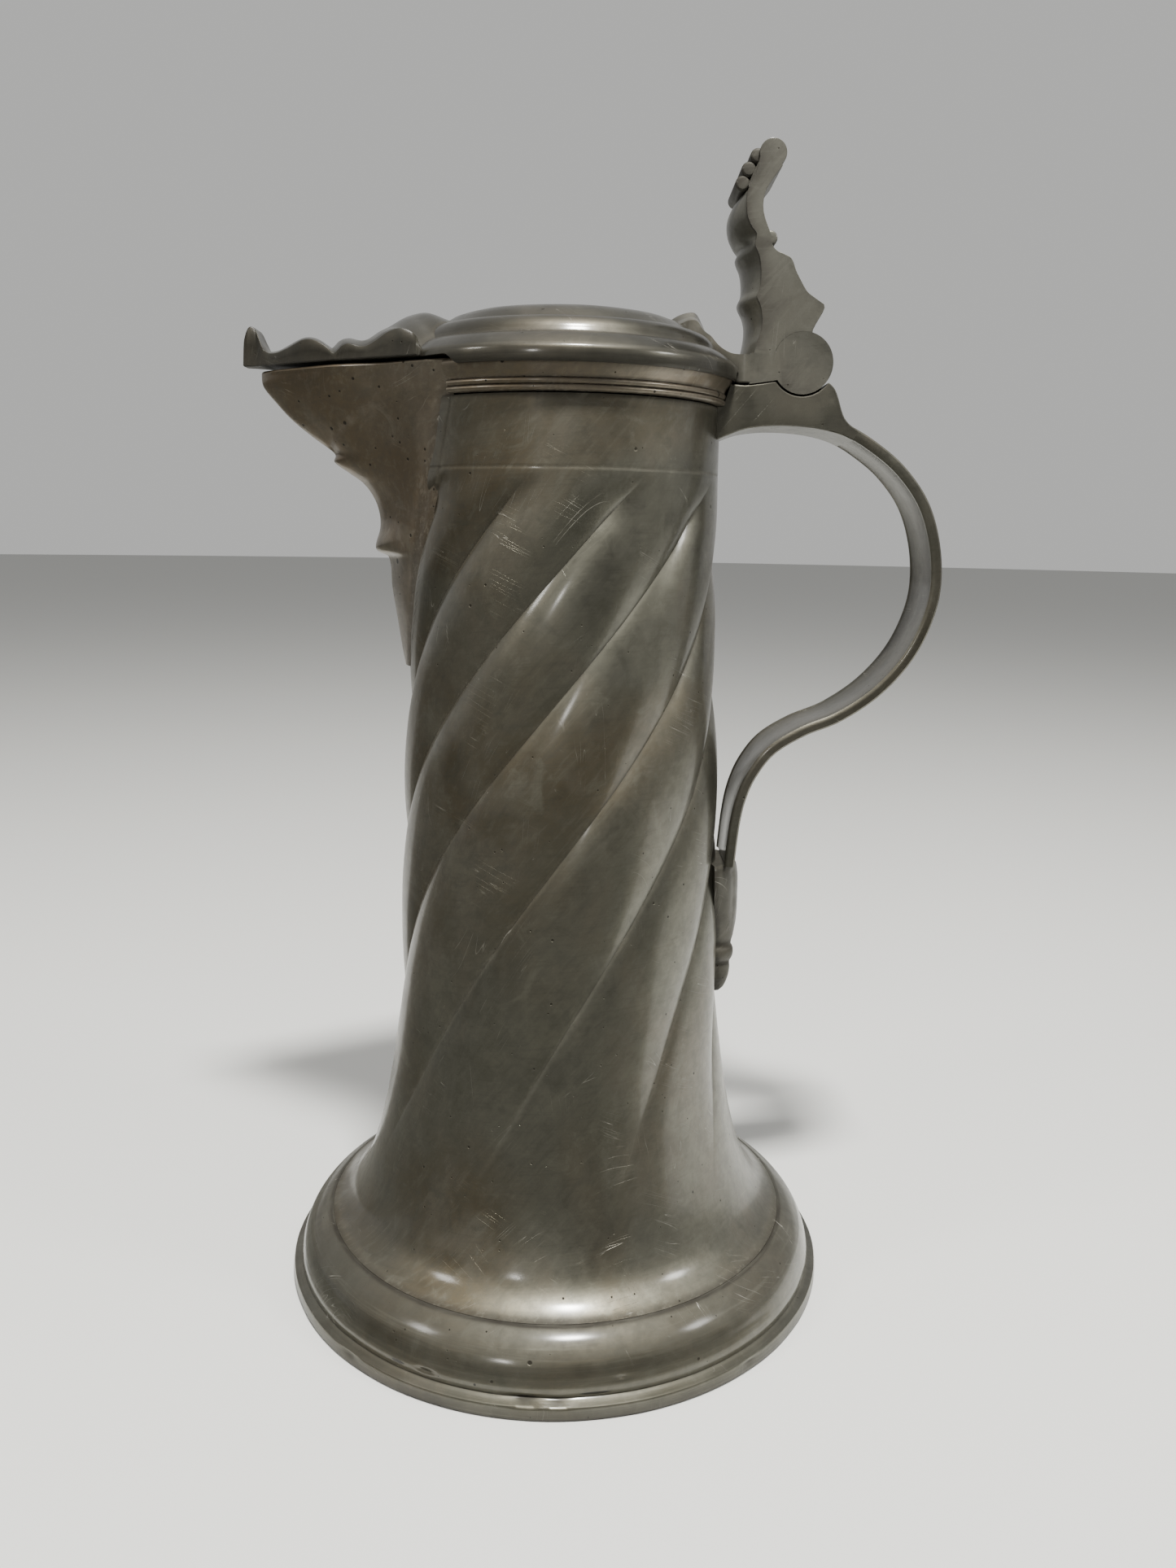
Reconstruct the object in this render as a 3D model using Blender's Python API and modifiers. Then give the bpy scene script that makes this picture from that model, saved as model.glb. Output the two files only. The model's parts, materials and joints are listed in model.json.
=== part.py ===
"""Spouted pewter flagon with a hinged lid.

Spiral-fluted drum on a wide moulded foot, a hooded beak spout soldered to one side, a strap handle
on the other, and a stepped lid with a beak cover, a hinge arm and an upright thumbpiece.
Lengths below are millimetres. Design coordinates put the drum's axis at x = y = 0 and the
standing plane at z = 0, with the handle towards +X and the spout towards -X.
"""

from math import cos, pi, radians, sin

import bmesh
import bpy
from mathutils import Matrix, Vector

# ---------------------------------------------------------------- driving dimensions (mm, degrees)
MM = 0.001
GAP = 0.3                    # clearance kept between pieces that are soldered or rest together
AXIS_X = -8.0                # drum axis from the middle of the whole footprint

TURN_STEPS = 54              # facets round a turned piece
WALL = 2.2                   # drum and spout wall
DRUM_TOP = 249.2
DRUM_BOTTOM = 19.0
# (height, outer radius) of the drum, from the foot seam up
DRUM_OUTLINE = ((19.0, 67.4), (22.0, 62.9), (27.0, 59.0), (33.0, 56.2), (41.0, 53.6), (52.0, 51.0),
                (68.0, 48.4), (90.0, 46.6), (120.0, 45.6), (150.0, 44.6), (180.0, 42.8),
                (205.0, 42.0), (232.0, 41.7), (249.2, 41.6))

LOBES = 9                    # spiral flutes: rounded lobes that meet in sharp valleys
LOBE_COLUMNS = 6             # facets across one lobe
LOBE_DEPTH = 2.2
LOBE_TOP = 232.0             # incised line where the lobes end
LOBE_TOP_FADE = 13.0
LOBE_BOTTOM = (36.0, 92.0)   # depth grows from nothing to full between these heights
# hand-raised valleys wander from an even spacing by a few degrees
VALLEY_DRIFT = (0.0, 0.0, -1.0, 4.0, 6.0, 9.0, 9.0, 9.0, 5.0)
VALLEY_START = -206.5        # angle of the first valley at TWIST_HEIGHT
TWIST_HEIGHT = 140.0
TWIST_RATE = 1.0             # degrees per mm at TWIST_HEIGHT
TWIST_GAIN = 0.00217         # and how the rate grows upwards, degrees per mm squared

FOOT_RADIUS = 79.5
FLOOR_HEIGHT = 24.0
FLOOR_THICK = 2.5

COLLAR_TOP = 257.7
COLLAR_RADIUS = 44.9
MOUTH_RADIUS = DRUM_OUTLINE[-1][1] - WALL

LID_UNDER = COLLAR_TOP + GAP
LID_RADIUS = 46.4
LID_RIM_BOTTOM = 255.6
LID_AJAR = 0.2               # the lid rests on the collar's heel side, so its front stands a little proud

SPOUT_BURIED = 2.8           # how far the beak's outline starts inside the drum, before trimming
SPOUT_FLOOR = 216.0          # the channel reaches down to the keel's last level above this
# (height, keel distance from the drum's axis) down the front edge of the beak
SPOUT_KEEL = ((257.7, 82.0), (253.9, 81.6), (249.6, 78.2), (245.1, 73.9), (240.6, 68.2),
              (237.4, 63.6), (236.2, 62.6), (234.4, 62.9), (231.5, 58.8), (229.0, 55.2),
              (225.1, 52.3), (221.0, 50.9), (217.0, 50.8), (212.4, 52.1), (210.8, 51.5),
              (209.4, 48.6), (201.0, 47.7), (190.7, 46.1), (184.0, 45.1), (179.5, 44.2))
# (height, angle from the spout's middle to its root on the drum)
SPOUT_ROOT = ((257.7, 50.0), (249.8, 48.9), (236.5, 43.7), (225.9, 39.2), (218.3, 34.6),
              (210.5, 28.7), (200.3, 23.6), (190.0, 17.0), (179.5, 7.0))

HANDLE_WIDTH = 23.5
STRAP_THICK = 3.0
HANDLE_END = 125.0           # the strap's lower end, on top of the leaf
HINGE = (61.7, 260.7)        # x and z of the lid's hinge axis
KNUCKLE_RADIUS = 7.8
KNUCKLE_WIDTH = 8.4          # the handle's middle knuckle
PIN_RADIUS = 1.75
SEAT_CLEARANCE = 0.5         # between a knuckle and the seat it turns in
LEAF_TOP = HANDLE_END - GAP

THUMB_TOP = (51.5, 310.9)    # x and z of the roll at the thumbpiece's top
THUMB_TOP_RADIUS = 3.5
THUMB_RIBS = ((47.8, 310.7), (45.7, 307.5), (44.3, 304.2))
THUMB_RIB_RADIUS = 1.9
THUMB_HALF = 11.2            # half width of the scalloped front plate
THUMB_BOW = 3.7              # how far the plate's middle stands in front of its edges
THUMB_PLATE = 2.4
THUMB_WEB_HALF = 11.5


# ---------------------------------------------------------------- scene, groups and materials
def clear_scene():
    for obj in list(bpy.data.objects):
        bpy.data.objects.remove(obj, do_unlink=True)


def new_collection(name):
    collection = bpy.data.collections.new(name)
    bpy.context.scene.collection.children.link(collection)
    return collection


def new_empty(name, location_mm, parent=None):
    empty = bpy.data.objects.new(name, None)
    empty.location = Vector(location_mm) * MM
    empty.parent = parent
    PARTS.objects.link(empty)
    return empty


def pewter(name, colour, roughness):
    material = bpy.data.materials.new(name)
    material.use_nodes = True
    shader = material.node_tree.nodes["Principled BSDF"]
    shader.inputs["Base Color"].default_value = (*colour, 1.0)
    shader.inputs["Metallic"].default_value = 1.0
    shader.inputs["Roughness"].default_value = roughness
    material.diffuse_color = (*colour, 1.0)
    return material


def place(mesh, name, on_lid=False, cutter=False, material=None):
    """An object from a mesh in design coordinates, on the vessel or on the lid's hinge."""
    obj = bpy.data.objects.new(name, mesh)
    if on_lid:
        obj.parent = LID_PIVOT
        obj.location = Vector((-HINGE[0], 0.0, -HINGE[1])) * MM
    else:
        obj.parent = DRUM_AXIS
    if cutter:
        CUTTERS.objects.link(obj)
        obj.hide_render = True
        obj.display_type = "WIRE"
    else:
        PARTS.objects.link(obj)
        mesh.shade_smooth()
        mesh.set_sharp_from_angle(angle=radians(35))
    if material:
        mesh.materials.append(material)
    return obj


def boolean(obj, other, operation="DIFFERENCE"):
    modifier = obj.modifiers.new(f"{operation.lower()} {other.name}", "BOOLEAN")
    modifier.operation = operation
    modifier.object = other
    modifier.solver = "EXACT"


# ---------------------------------------------------------------- shape helpers
def curve_at(points, at):
    """The value at `at` on a smooth curve through (position, value) points."""
    points = sorted(points)
    at = min(max(at, points[0][0]), points[-1][0])
    i = max(k for k in range(len(points) - 1) if points[k][0] <= at)
    (p0, v0), (p1, v1) = points[i], points[i + 1]

    def slope(k):
        low, high = points[max(k - 1, 0)], points[min(k + 1, len(points) - 1)]
        return (high[1] - low[1]) / (high[0] - low[0])

    span = p1 - p0
    t = (at - p0) / span
    rest = 1.0 - t
    return (v0 * (1 + 2 * t) * rest * rest + v1 * (1 + 2 * rest) * t * t
            + span * t * rest * (slope(i) * rest - slope(i + 1) * t))


def line_at(points, at):
    """The value at `at` on the straight segments through (position, value) points."""
    points = sorted(points)
    at = min(max(at, points[0][0]), points[-1][0])
    i = max(k for k in range(len(points) - 1) if points[k][0] <= at)
    (p0, v0), (p1, v1) = points[i], points[i + 1]
    return v0 + (v1 - v0) * (at - p0) / (p1 - p0)


def smooth_step(low, high, at):
    t = min(max((at - low) / (high - low), 0.0), 1.0)
    return t * t * (3.0 - 2.0 * t)


def smooth_path(points, steps):
    """Points along a Catmull-Rom curve through the given points."""
    ends = [points[0], *points, points[-1]]
    path = []
    for i in range(1, len(ends) - 2):
        a, b, c, d = (Vector(ends[k]) for k in (i - 1, i, i + 1, i + 2))
        for step in range(steps):
            t = step / steps
            path.append(tuple(0.5 * (2 * b + (c - a) * t + (2 * a - 5 * b + 4 * c - d) * t * t
                                     + (3 * b - a - 3 * c + d) * t ** 3)))
    path.append(tuple(points[-1]))
    return path


def arc(centre, radius, start, end, steps):
    """Points on an arc in the side view, angles in degrees from +X towards +Z."""
    angles = [radians(start + (end - start) * i / steps) for i in range(steps + 1)]
    return [(centre[0] + radius * cos(a), centre[1] + radius * sin(a)) for a in angles]


def mesh_from(name, points, faces):
    mesh = bpy.data.meshes.new(name)
    mesh.from_pydata([Vector(p) * MM for p in points], [], faces)
    return mesh


def facing_out(mesh):
    bm = bmesh.new()
    bm.from_mesh(mesh)
    bmesh.ops.recalc_face_normals(bm, faces=bm.faces)
    bm.to_mesh(mesh)
    bm.free()
    return mesh


def skin_faces(levels, count):
    """Triangles between closed rings, all split along the same diagonal."""
    faces = []
    for i in range(levels - 1):
        for j in range(count):
            low, next_low = i * count + j, i * count + (j + 1) % count
            faces.append((low, next_low, next_low + count))
            faces.append((low, next_low + count, low + count))
    return faces


def loft(name, rings):
    """A closed solid through rings of equally many points, capped at both ends."""
    count = len(rings[0])
    points = [p for ring in rings for p in ring]
    faces = skin_faces(len(rings), count)
    faces.append(tuple(range(count)))
    faces.append(tuple(range((len(rings) - 1) * count, len(rings) * count)))
    return facing_out(mesh_from(name, points, faces))


def turned(name, outline, steps, **where):
    """A solid of revolution from an outline of (radius, height) points, run down the outer side."""
    points = [(r, 0.0, z) for r, z in outline]
    on_axis = outline[0][0] == 0.0
    edges = [(i, i + 1) for i in range(len(points) - 1)]
    if not on_axis:
        edges.append((len(points) - 1, 0))
    mesh = bpy.data.meshes.new(name)
    mesh.from_pydata([Vector(p) * MM for p in points], edges, [])
    obj = place(mesh, name, **where)
    screw = obj.modifiers.new("turn", "SCREW")
    screw.axis = "Z"
    screw.steps = steps
    screw.render_steps = steps
    screw.use_merge_vertices = True
    screw.merge_threshold = 0.00001
    screw.use_smooth_shade = True
    return obj


def slab(name, outline, half_width, plane="side"):
    """A flat outline given thickness: (x, z) points spread in y, or (y, z) points spread in x."""
    curve = bpy.data.curves.new(name, "CURVE")
    curve.dimensions = "2D"
    curve.fill_mode = "BOTH"
    curve.extrude = half_width * MM
    spline = curve.splines.new("POLY")
    spline.points.add(len(outline) - 1)
    for point, (u, v) in zip(spline.points, outline):
        point.co = (u * MM, v * MM, 0.0, 1.0)
    spline.use_cyclic_u = True
    holder = bpy.data.objects.new(name, curve)
    bpy.context.scene.collection.objects.link(holder)
    bpy.context.view_layer.update()
    graph = bpy.context.evaluated_depsgraph_get()
    mesh = bpy.data.meshes.new_from_object(holder.evaluated_get(graph))
    bpy.data.objects.remove(holder, do_unlink=True)
    turn = Matrix.Rotation(pi / 2, 4, "X")
    if plane == "front":
        turn = Matrix.Rotation(pi / 2, 4, "Z") @ turn
    mesh.transform(turn)
    mesh.name = name
    bm = bmesh.new()
    bm.from_mesh(mesh)
    bmesh.ops.remove_doubles(bm, verts=bm.verts, dist=1e-6)
    bmesh.ops.recalc_face_normals(bm, faces=bm.faces)
    bm.to_mesh(mesh)
    bm.free()
    return mesh


def rod(name, radius, half_length, centre, segments=24):
    """A cylinder along y, centred in the side view."""
    bm = bmesh.new()
    bmesh.ops.create_cone(bm, cap_ends=True, segments=segments, radius1=radius * MM,
                          radius2=radius * MM, depth=2 * half_length * MM,
                          matrix=Matrix.Translation(Vector((centre[0], 0.0, centre[1])) * MM)
                          @ Matrix.Rotation(pi / 2, 4, "X"))
    mesh = bpy.data.meshes.new(name)
    bm.to_mesh(mesh)
    bm.free()
    return mesh


# ---------------------------------------------------------------- drum
def twist(z):
    """How far the valleys have turned at a height, in degrees."""
    up = min(max(z, LOBE_BOTTOM[0]), LOBE_TOP) - TWIST_HEIGHT
    return TWIST_RATE * up + TWIST_GAIN * up * up


def lobe_depth(z):
    top = smooth_step(LOBE_TOP, LOBE_TOP - LOBE_TOP_FADE, z)
    return LOBE_DEPTH * top * smooth_step(*LOBE_BOTTOM, z)


def drum_ring(z, proud=0.0):
    """One ring of the fluted drum: facets follow the valleys round."""
    radius = curve_at(DRUM_OUTLINE, z) + proud
    depth = lobe_depth(z)
    ring = []
    for lobe in range(LOBES):
        start = VALLEY_START + 360.0 / LOBES * lobe + VALLEY_DRIFT[lobe]
        end = (VALLEY_START + 360.0 / LOBES * (lobe + 1) + VALLEY_DRIFT[(lobe + 1) % LOBES])
        for column in range(LOBE_COLUMNS):
            t = column / LOBE_COLUMNS
            angle = radians(start + (end - start) * t + twist(z))
            r = radius - depth * (2 * t - 1) ** 2
            ring.append((r * cos(angle), r * sin(angle), z))
    return ring


def drum_heights(low, high):
    """Heights of the rings, close together in the flare and even along the flutes."""
    flare = [DRUM_BOTTOM + (60.0 - DRUM_BOTTOM) * (i / 7) ** 1.7 for i in range(8)]
    flutes = [60.0 + (LOBE_TOP - 60.0) * i / 13 for i in range(1, 14)]
    return [low] + [z for z in flare + flutes if low < z < high] + [high]


def build_drum():
    rings = [drum_ring(z) for z in drum_heights(DRUM_BOTTOM, DRUM_TOP)]
    faces = skin_faces(len(rings), len(rings[0]))
    mesh = mesh_from("barrel", [p for ring in rings for p in ring], faces)
    drum = place(mesh, "barrel", material=BODY)
    shell = drum.modifiers.new("wall", "SOLIDIFY")
    shell.thickness = WALL * MM
    shell.offset = -1.0
    shell.use_even_offset = True
    return drum


def drum_cutter():
    """The drum's outside plus the joint gap, for trimming what is soldered to it."""
    heights = drum_heights(60.0, DRUM_TOP)
    rings = [drum_ring(z, GAP) for z in heights]
    rings.append([(x, y, COLLAR_TOP + 6.0) for x, y, z in rings[-1]])
    return place(loft("cut_drum", rings), "cut_drum", cutter=True)


# ---------------------------------------------------------------- foot and floor
def build_foot():
    ovolo = arc((66.2, 6.8), 10.6, 68.0, -8.0, 6)
    outline = [(67.9, 18.95), (68.9, 18.3), *ovolo, (77.5, 4.3), (79.0, 4.0), (FOOT_RADIUS, 3.3),
               (FOOT_RADIUS, 0.6), (79.0, 0.0), (74.4, 0.0), (74.0, 0.5), (73.9, 7.6), (71.6, 12.6),
               (66.8, 16.9)]
    return turned("foot_ring", outline, TURN_STEPS, material=BODY)


def build_floor():
    outline = [(0.0, FLOOR_HEIGHT + FLOOR_THICK), (55.0, FLOOR_HEIGHT + FLOOR_THICK),
               (56.6, FLOOR_HEIGHT), (0.0, FLOOR_HEIGHT)]
    return turned("floor_disc", outline, TURN_STEPS, material=BODY)


# ---------------------------------------------------------------- spout
def spout_ring(z, inset=0.0, reach=6.0):
    """One level of the beak: a rounded wedge from inside the drum out to the keel."""
    tip = -(curve_at(SPOUT_KEEL, z) - inset)
    spread = radians(curve_at(SPOUT_ROOT, z))
    if z < DRUM_TOP:
        radius = curve_at(DRUM_OUTLINE, z) - SPOUT_BURIED
    else:
        radius = line_at(((DRUM_TOP, MOUTH_RADIUS + WALL - SPOUT_BURIED),
                          (COLLAR_TOP, COLLAR_RADIUS)), z)
    root_x = -radius * cos(spread)
    root_y = max(radius * sin(spread) - inset, 0.8)
    half = [(root_x + reach, root_y + 0.12 * reach)]
    steps = 9
    for i in range(steps):
        s = 1.0 - (1.0 - i / (steps - 1)) ** 1.6
        half.append((root_x + (tip - root_x) * s, root_y * (1.0 - s) ** 0.8))
    return [(x, y, z) for x, y in half] + [(x, -y, z) for x, y in reversed(half[:-1])]


def build_spout():
    """The hollow beak, trimmed to the drum. Returns the channel, which cuts the drum's wall too."""
    heights = [z for z, _ in SPOUT_KEEL]
    outer = loft("spout", [spout_ring(z) for z in heights])
    channel_heights = [COLLAR_TOP + 5.0] + [z for z in heights if z > SPOUT_FLOOR]
    rings = [spout_ring(min(z, COLLAR_TOP), WALL, 16.0) for z in channel_heights]
    rings[0] = [(x, y, COLLAR_TOP + 5.0) for x, y, _ in rings[0]]
    channel = place(loft("cut_channel", rings), "cut_channel", cutter=True)
    spout = place(outer, "spout", material=SPOUT)
    boolean(spout, channel)
    boolean(spout, DRUM_CUTTER)
    return channel


def spout_outside_cutter():
    """The beak's outside plus the joint gap, which the collar stops against."""
    heights = (COLLAR_TOP + 3.0, COLLAR_TOP, 253.9, 249.6, DRUM_TOP)
    rings = []
    for z in heights:
        ring = spout_ring(min(z, COLLAR_TOP), -GAP, 24.0)
        rings.append([(x, y, z) for x, y, _ in ring])
    return place(loft("cut_spout", rings), "cut_spout", cutter=True)


# ---------------------------------------------------------------- collar
COLLAR_OUTSIDE = ((43.7, COLLAR_TOP), (44.7, 257.1), (COLLAR_RADIUS, 256.2), (44.3, 254.8),
                  (43.3, 253.5), (42.9, 252.6), (43.2, 252.1), (43.2, 251.5), (42.7, 251.1),
                  (43.0, 250.6), (43.0, 250.0), (42.5, DRUM_TOP + GAP))


def collar_cutter():
    """The collar's outside plus the joint gap."""
    outline = [(0.0, COLLAR_TOP + 1.0), (COLLAR_OUTSIDE[0][0] + GAP, COLLAR_TOP + 1.0)]
    outline += [(r + GAP, z) for r, z in COLLAR_OUTSIDE]
    outline += [(42.0, DRUM_TOP - 1.0), (0.0, DRUM_TOP - 1.0)]
    return turned("cut_collar", outline, TURN_STEPS, cutter=True)


def build_collar():
    outline = [*COLLAR_OUTSIDE, (MOUTH_RADIUS, DRUM_TOP + GAP), (MOUTH_RADIUS, COLLAR_TOP)]
    collar = turned("mouth_collar", outline, TURN_STEPS, material=BODY)
    boolean(collar, spout_outside_cutter())
    return collar


# ---------------------------------------------------------------- handle
def strap_edges():
    """Outer and inner edges of the S-shaped strap, in the side view."""
    route = ((73.0, 244.6), (80.6, 240.5), (88.6, 234.4), (95.4, 225.8), (99.2, 215.4),
             (100.4, 204.4), (98.7, 194.6), (94.0, 184.4), (86.2, 175.2), (76.4, 168.2),
             (66.6, 163.9), (58.4, 158.6), (53.3, 151.8), (50.4, 144.6), (48.9, 136.6),
             (47.9, HANDLE_END))
    line = smooth_path(route, 3)
    outer, inner = [], []
    for i, point in enumerate(line):
        before, after = Vector(line[max(i - 1, 0)]), Vector(line[min(i + 1, len(line) - 1)])
        along = (after - before).normalized()
        across = Vector((-along[1], along[0])) * STRAP_THICK / 2
        outer.append(tuple(Vector(point) + across))
        inner.append(tuple(Vector(point) - across))
    return outer, inner


def build_handle():
    """Strap, upper block and middle knuckle, cast in one."""
    outer, inner = strap_edges()
    seat = arc(HINGE, KNUCKLE_RADIUS + SEAT_CLEARANCE, 214.0, 326.0, 8)
    top = LID_RIM_BOTTOM - GAP
    outline = [*reversed(seat), (41.0, top), (38.0, top), (38.0, 241.0), (43.0, 242.6),
               (50.3, 244.9), (60.0, 244.9), (66.6, 244.3), *inner, *reversed(outer), (72.1, 249.4),
               (71.3, 252.0), (70.3, 254.5)]
    handle = place(slab("handle", outline, HANDLE_WIDTH / 2), "handle", material=HANDLE)
    neck = slab("add_neck", [(57.5, 248.0), (67.0, 248.0), (68.5, 260.8), (56.5, 260.8)],
                KNUCKLE_WIDTH / 2)
    knuckle = place(rod("add_knuckle", KNUCKLE_RADIUS, KNUCKLE_WIDTH / 2, HINGE, 32), "add_knuckle",
                    cutter=True)
    boolean(handle, place(neck, "add_neck", cutter=True), "UNION")
    boolean(handle, knuckle, "UNION")
    bore = rod("cut_handle_bore", PIN_RADIUS + GAP, HANDLE_WIDTH, HINGE)
    boolean(handle, place(bore, "cut_handle_bore", cutter=True))
    boolean(handle, DRUM_CUTTER)
    boolean(handle, collar_cutter())
    return handle


def build_lower_leaf():
    """The leaf that ties the strap's end to the drum."""
    back = [(42.0, 121.0), (46.8, 123.6), (50.2, LEAF_TOP), (51.4, 122.5), (52.0, 117.0),
            (52.0, 107.7), (51.9, 102.0), (51.3, 99.6), (51.9, 97.4), (51.8, 95.0), (51.1, 93.4),
            (51.0, 89.8), (50.2, 86.3), (48.1, 83.9), (42.0, 83.9)]
    half = ((10.6, 125.5), (11.6, 120.0), (10.4, 112.0), (7.6, 104.0), (5.4, 99.6), (6.1, 96.8),
            (5.3, 94.0), (4.0, 89.0), (2.2, 85.4), (0.8, 83.0))
    face = [*half, *((-y, z) for y, z in reversed(half))]
    leaf = place(slab("lower_leaf", back, HANDLE_WIDTH), "lower_leaf", material=HANDLE)
    plan = place(slab("keep_leaf", face, 80.0, "front"), "keep_leaf", cutter=True)
    boolean(leaf, plan, "INTERSECT")
    boolean(leaf, DRUM_CUTTER)
    return leaf


# ---------------------------------------------------------------- lid
LID_OUTSIDE = ((0.0, 272.4), (8.0, 272.3), (20.0, 271.9), (26.0, 271.5), (30.0, 270.6),
               (33.0, 269.0), (34.6, 267.7), (35.6, 267.1), (37.6, 266.7), (39.2, 265.6),
               (40.1, 264.0), (40.5, 263.0), (42.4, 262.3), (44.6, 260.6), (45.7, 259.7),
               (46.3, 258.8), (LID_RADIUS, 257.2), (46.2, LID_RIM_BOTTOM))


def build_lid():
    inside = [(45.4, LID_RIM_BOTTOM), (45.4, LID_UNDER), (40.0, LID_UNDER), (37.6, 261.6),
              (34.0, 264.4), (29.0, 267.6), (20.0, 269.2), (0.0, 269.8)]
    lid = turned("lid_dome", [*LID_OUTSIDE, *inside], TURN_STEPS, on_lid=True, material=LID)
    for name, low, high in (("cut_rim_spout", -60.0, -27.0), ("cut_rim_heel", 41.0, 60.0)):
        outline = [(low, LID_RIM_BOTTOM - 2), (high, LID_RIM_BOTTOM - 2), (high, LID_UNDER),
                   (low, LID_UNDER)]
        half = 50.0 if high < 0 else HANDLE_WIDTH / 2 + 1.5
        boolean(lid, place(slab(name, outline, half), name, on_lid=True, cutter=True))
    return lid


def lid_cutter():
    """The lid's outside plus the joint gap, for trimming what is soldered on top of it."""
    outline = [(0.0, LID_OUTSIDE[0][1] + GAP)]
    outline += [(r + GAP, z + GAP) for r, z in LID_OUTSIDE[1:]]
    outline += [(LID_RADIUS + GAP, 252.0), (0.0, 252.0)]
    return turned("cut_lid", outline, TURN_STEPS, on_lid=True, cutter=True)


# (distance from the drum's axis, height of the wavy crest) along the beak cover
COVER_CREST = ((86.3, 259.6), (86.1, 264.2), (85.3, 267.3), (84.0, 268.4), (82.6, 267.6),
               (81.0, 264.2), (79.0, 262.2), (75.5, 262.8), (70.7, 265.0), (67.5, 265.6),
               (64.3, 264.7), (61.9, 262.8), (59.0, 265.0), (56.7, 265.4), (53.3, 264.2),
               (50.6, 265.4), (47.0, 268.3), (42.7, 271.2), (38.0, 272.4), (34.0, 271.8),
               (30.0, 270.4), (24.0, 268.0))
COVER_UNDER = LID_UNDER + 0.2
COVER_CAMBER = 0.0075        # fall of the cover's top towards its edge, per mm of half width squared
COVER_EDGE = 2.0             # thinnest the cover gets at its edge
# (distance from the drum's axis, half width) of the beak cover
COVER_HALF = ((86.3, 2.2), (84.0, 2.8), (81.0, 4.6), (77.0, 7.4), (70.0, 12.2), (60.0, 18.0),
              (50.0, 23.6), (40.0, 29.2), (30.0, 35.2), (24.0, 38.0))


def build_spout_cover():
    """The long tongue on the lid that closes the beak, with an upturned point."""
    rings = []
    for x, crest in COVER_CREST:
        half = curve_at(COVER_HALF, x)
        edge = max(crest - COVER_CAMBER * half * half - 0.6, COVER_UNDER + COVER_EDGE)
        edge = min(edge, crest - 0.3)
        side = [(half, COVER_UNDER), (half, edge - 0.8), (0.86 * half, edge),
                (0.4 * half, (edge + 2 * crest) / 3)]
        ring = [*side, (0.0, crest), *((-y, z) for y, z in reversed(side))]
        rings.append([(-x, y, z) for y, z in ring])
    cover = place(loft("spout_cover", rings), "spout_cover", on_lid=True, material=LID)
    boolean(cover, LID_CUTTER)
    return cover


def build_hinge_arm():
    """The strap from the lid's crown to the hinge, ending in the two outer knuckles."""
    knuckle = arc(HINGE, KNUCKLE_RADIUS, 163.0, -146.0, 27)
    under = LID_RIM_BOTTOM
    outline = [(24.0, 268.0), (28.6, 272.9), (33.2, 274.4), (35.2, 273.2), (37.1, 269.8),
               (39.4, 266.5), (41.6, 264.4), (44.0, 263.3), (47.0, 262.9), *knuckle,
               (44.8, under), (36.0, under)]
    arm = place(slab("hinge_arm", outline, HANDLE_WIDTH / 2), "hinge_arm", on_lid=True,
                material=LID)
    beyond = HANDLE_WIDTH / 2 + 1.0
    half = ((24.0, 1.5), (28.0, 5.0), (32.0, 8.6), (35.5, 7.4), (38.0, 7.0), (43.0, 9.6),
            (47.5, beyond), (72.0, beyond))
    plan = [*half, *((x, -y) for x, y in reversed(half))]
    leaf = loft("keep_arm", [[(x, y, z) for x, y in plan] for z in (250.0, 280.0)])
    boolean(arm, place(leaf, "keep_arm", on_lid=True, cutter=True), "INTERSECT")
    slot_radius = KNUCKLE_RADIUS + SEAT_CLEARANCE
    slot = rod("cut_slot", slot_radius, KNUCKLE_WIDTH / 2 + GAP, HINGE, 32)
    boolean(arm, place(slot, "cut_slot", on_lid=True, cutter=True))
    bore = rod("cut_arm_bore", PIN_RADIUS + GAP, HANDLE_WIDTH, HINGE)
    boolean(arm, place(bore, "cut_arm_bore", on_lid=True, cutter=True))
    boolean(arm, LID_CUTTER)
    return arm


# (x, z) of the thumbpiece's scalloped front, from its foot up to the roll at the top
THUMB_FRONT = ((49.0, 263.2), (50.0, 267.2), (50.6, 270.0), (50.3, 273.6), (48.9, 276.8),
               (49.8, 281.0), (49.3, 285.8), (47.9, 289.2), (48.2, 291.6), (46.2, 294.7),
               (45.4, 297.7), (45.3, 301.3), (46.8, 304.6), (48.1, 308.0))
# (x, z) down the back of its web
THUMB_BACK = ((53.2, 307.2), (52.6, 305.6), (50.6, 303.0), (49.6, 300.4), (49.7, 297.6),
              (50.5, 294.8), (51.6, 292.4), (52.2, 289.4), (54.7, 287.4), (57.1, 286.2),
              (58.8, 283.2), (60.4, 280.5), (62.0, 277.9), (66.5, 275.0), (66.1, 273.2),
              (64.5, 270.6), (63.7, 268.9))
THUMB_FOOT = HINGE[1] + 2.5  # height of its underside, on the arm


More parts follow.
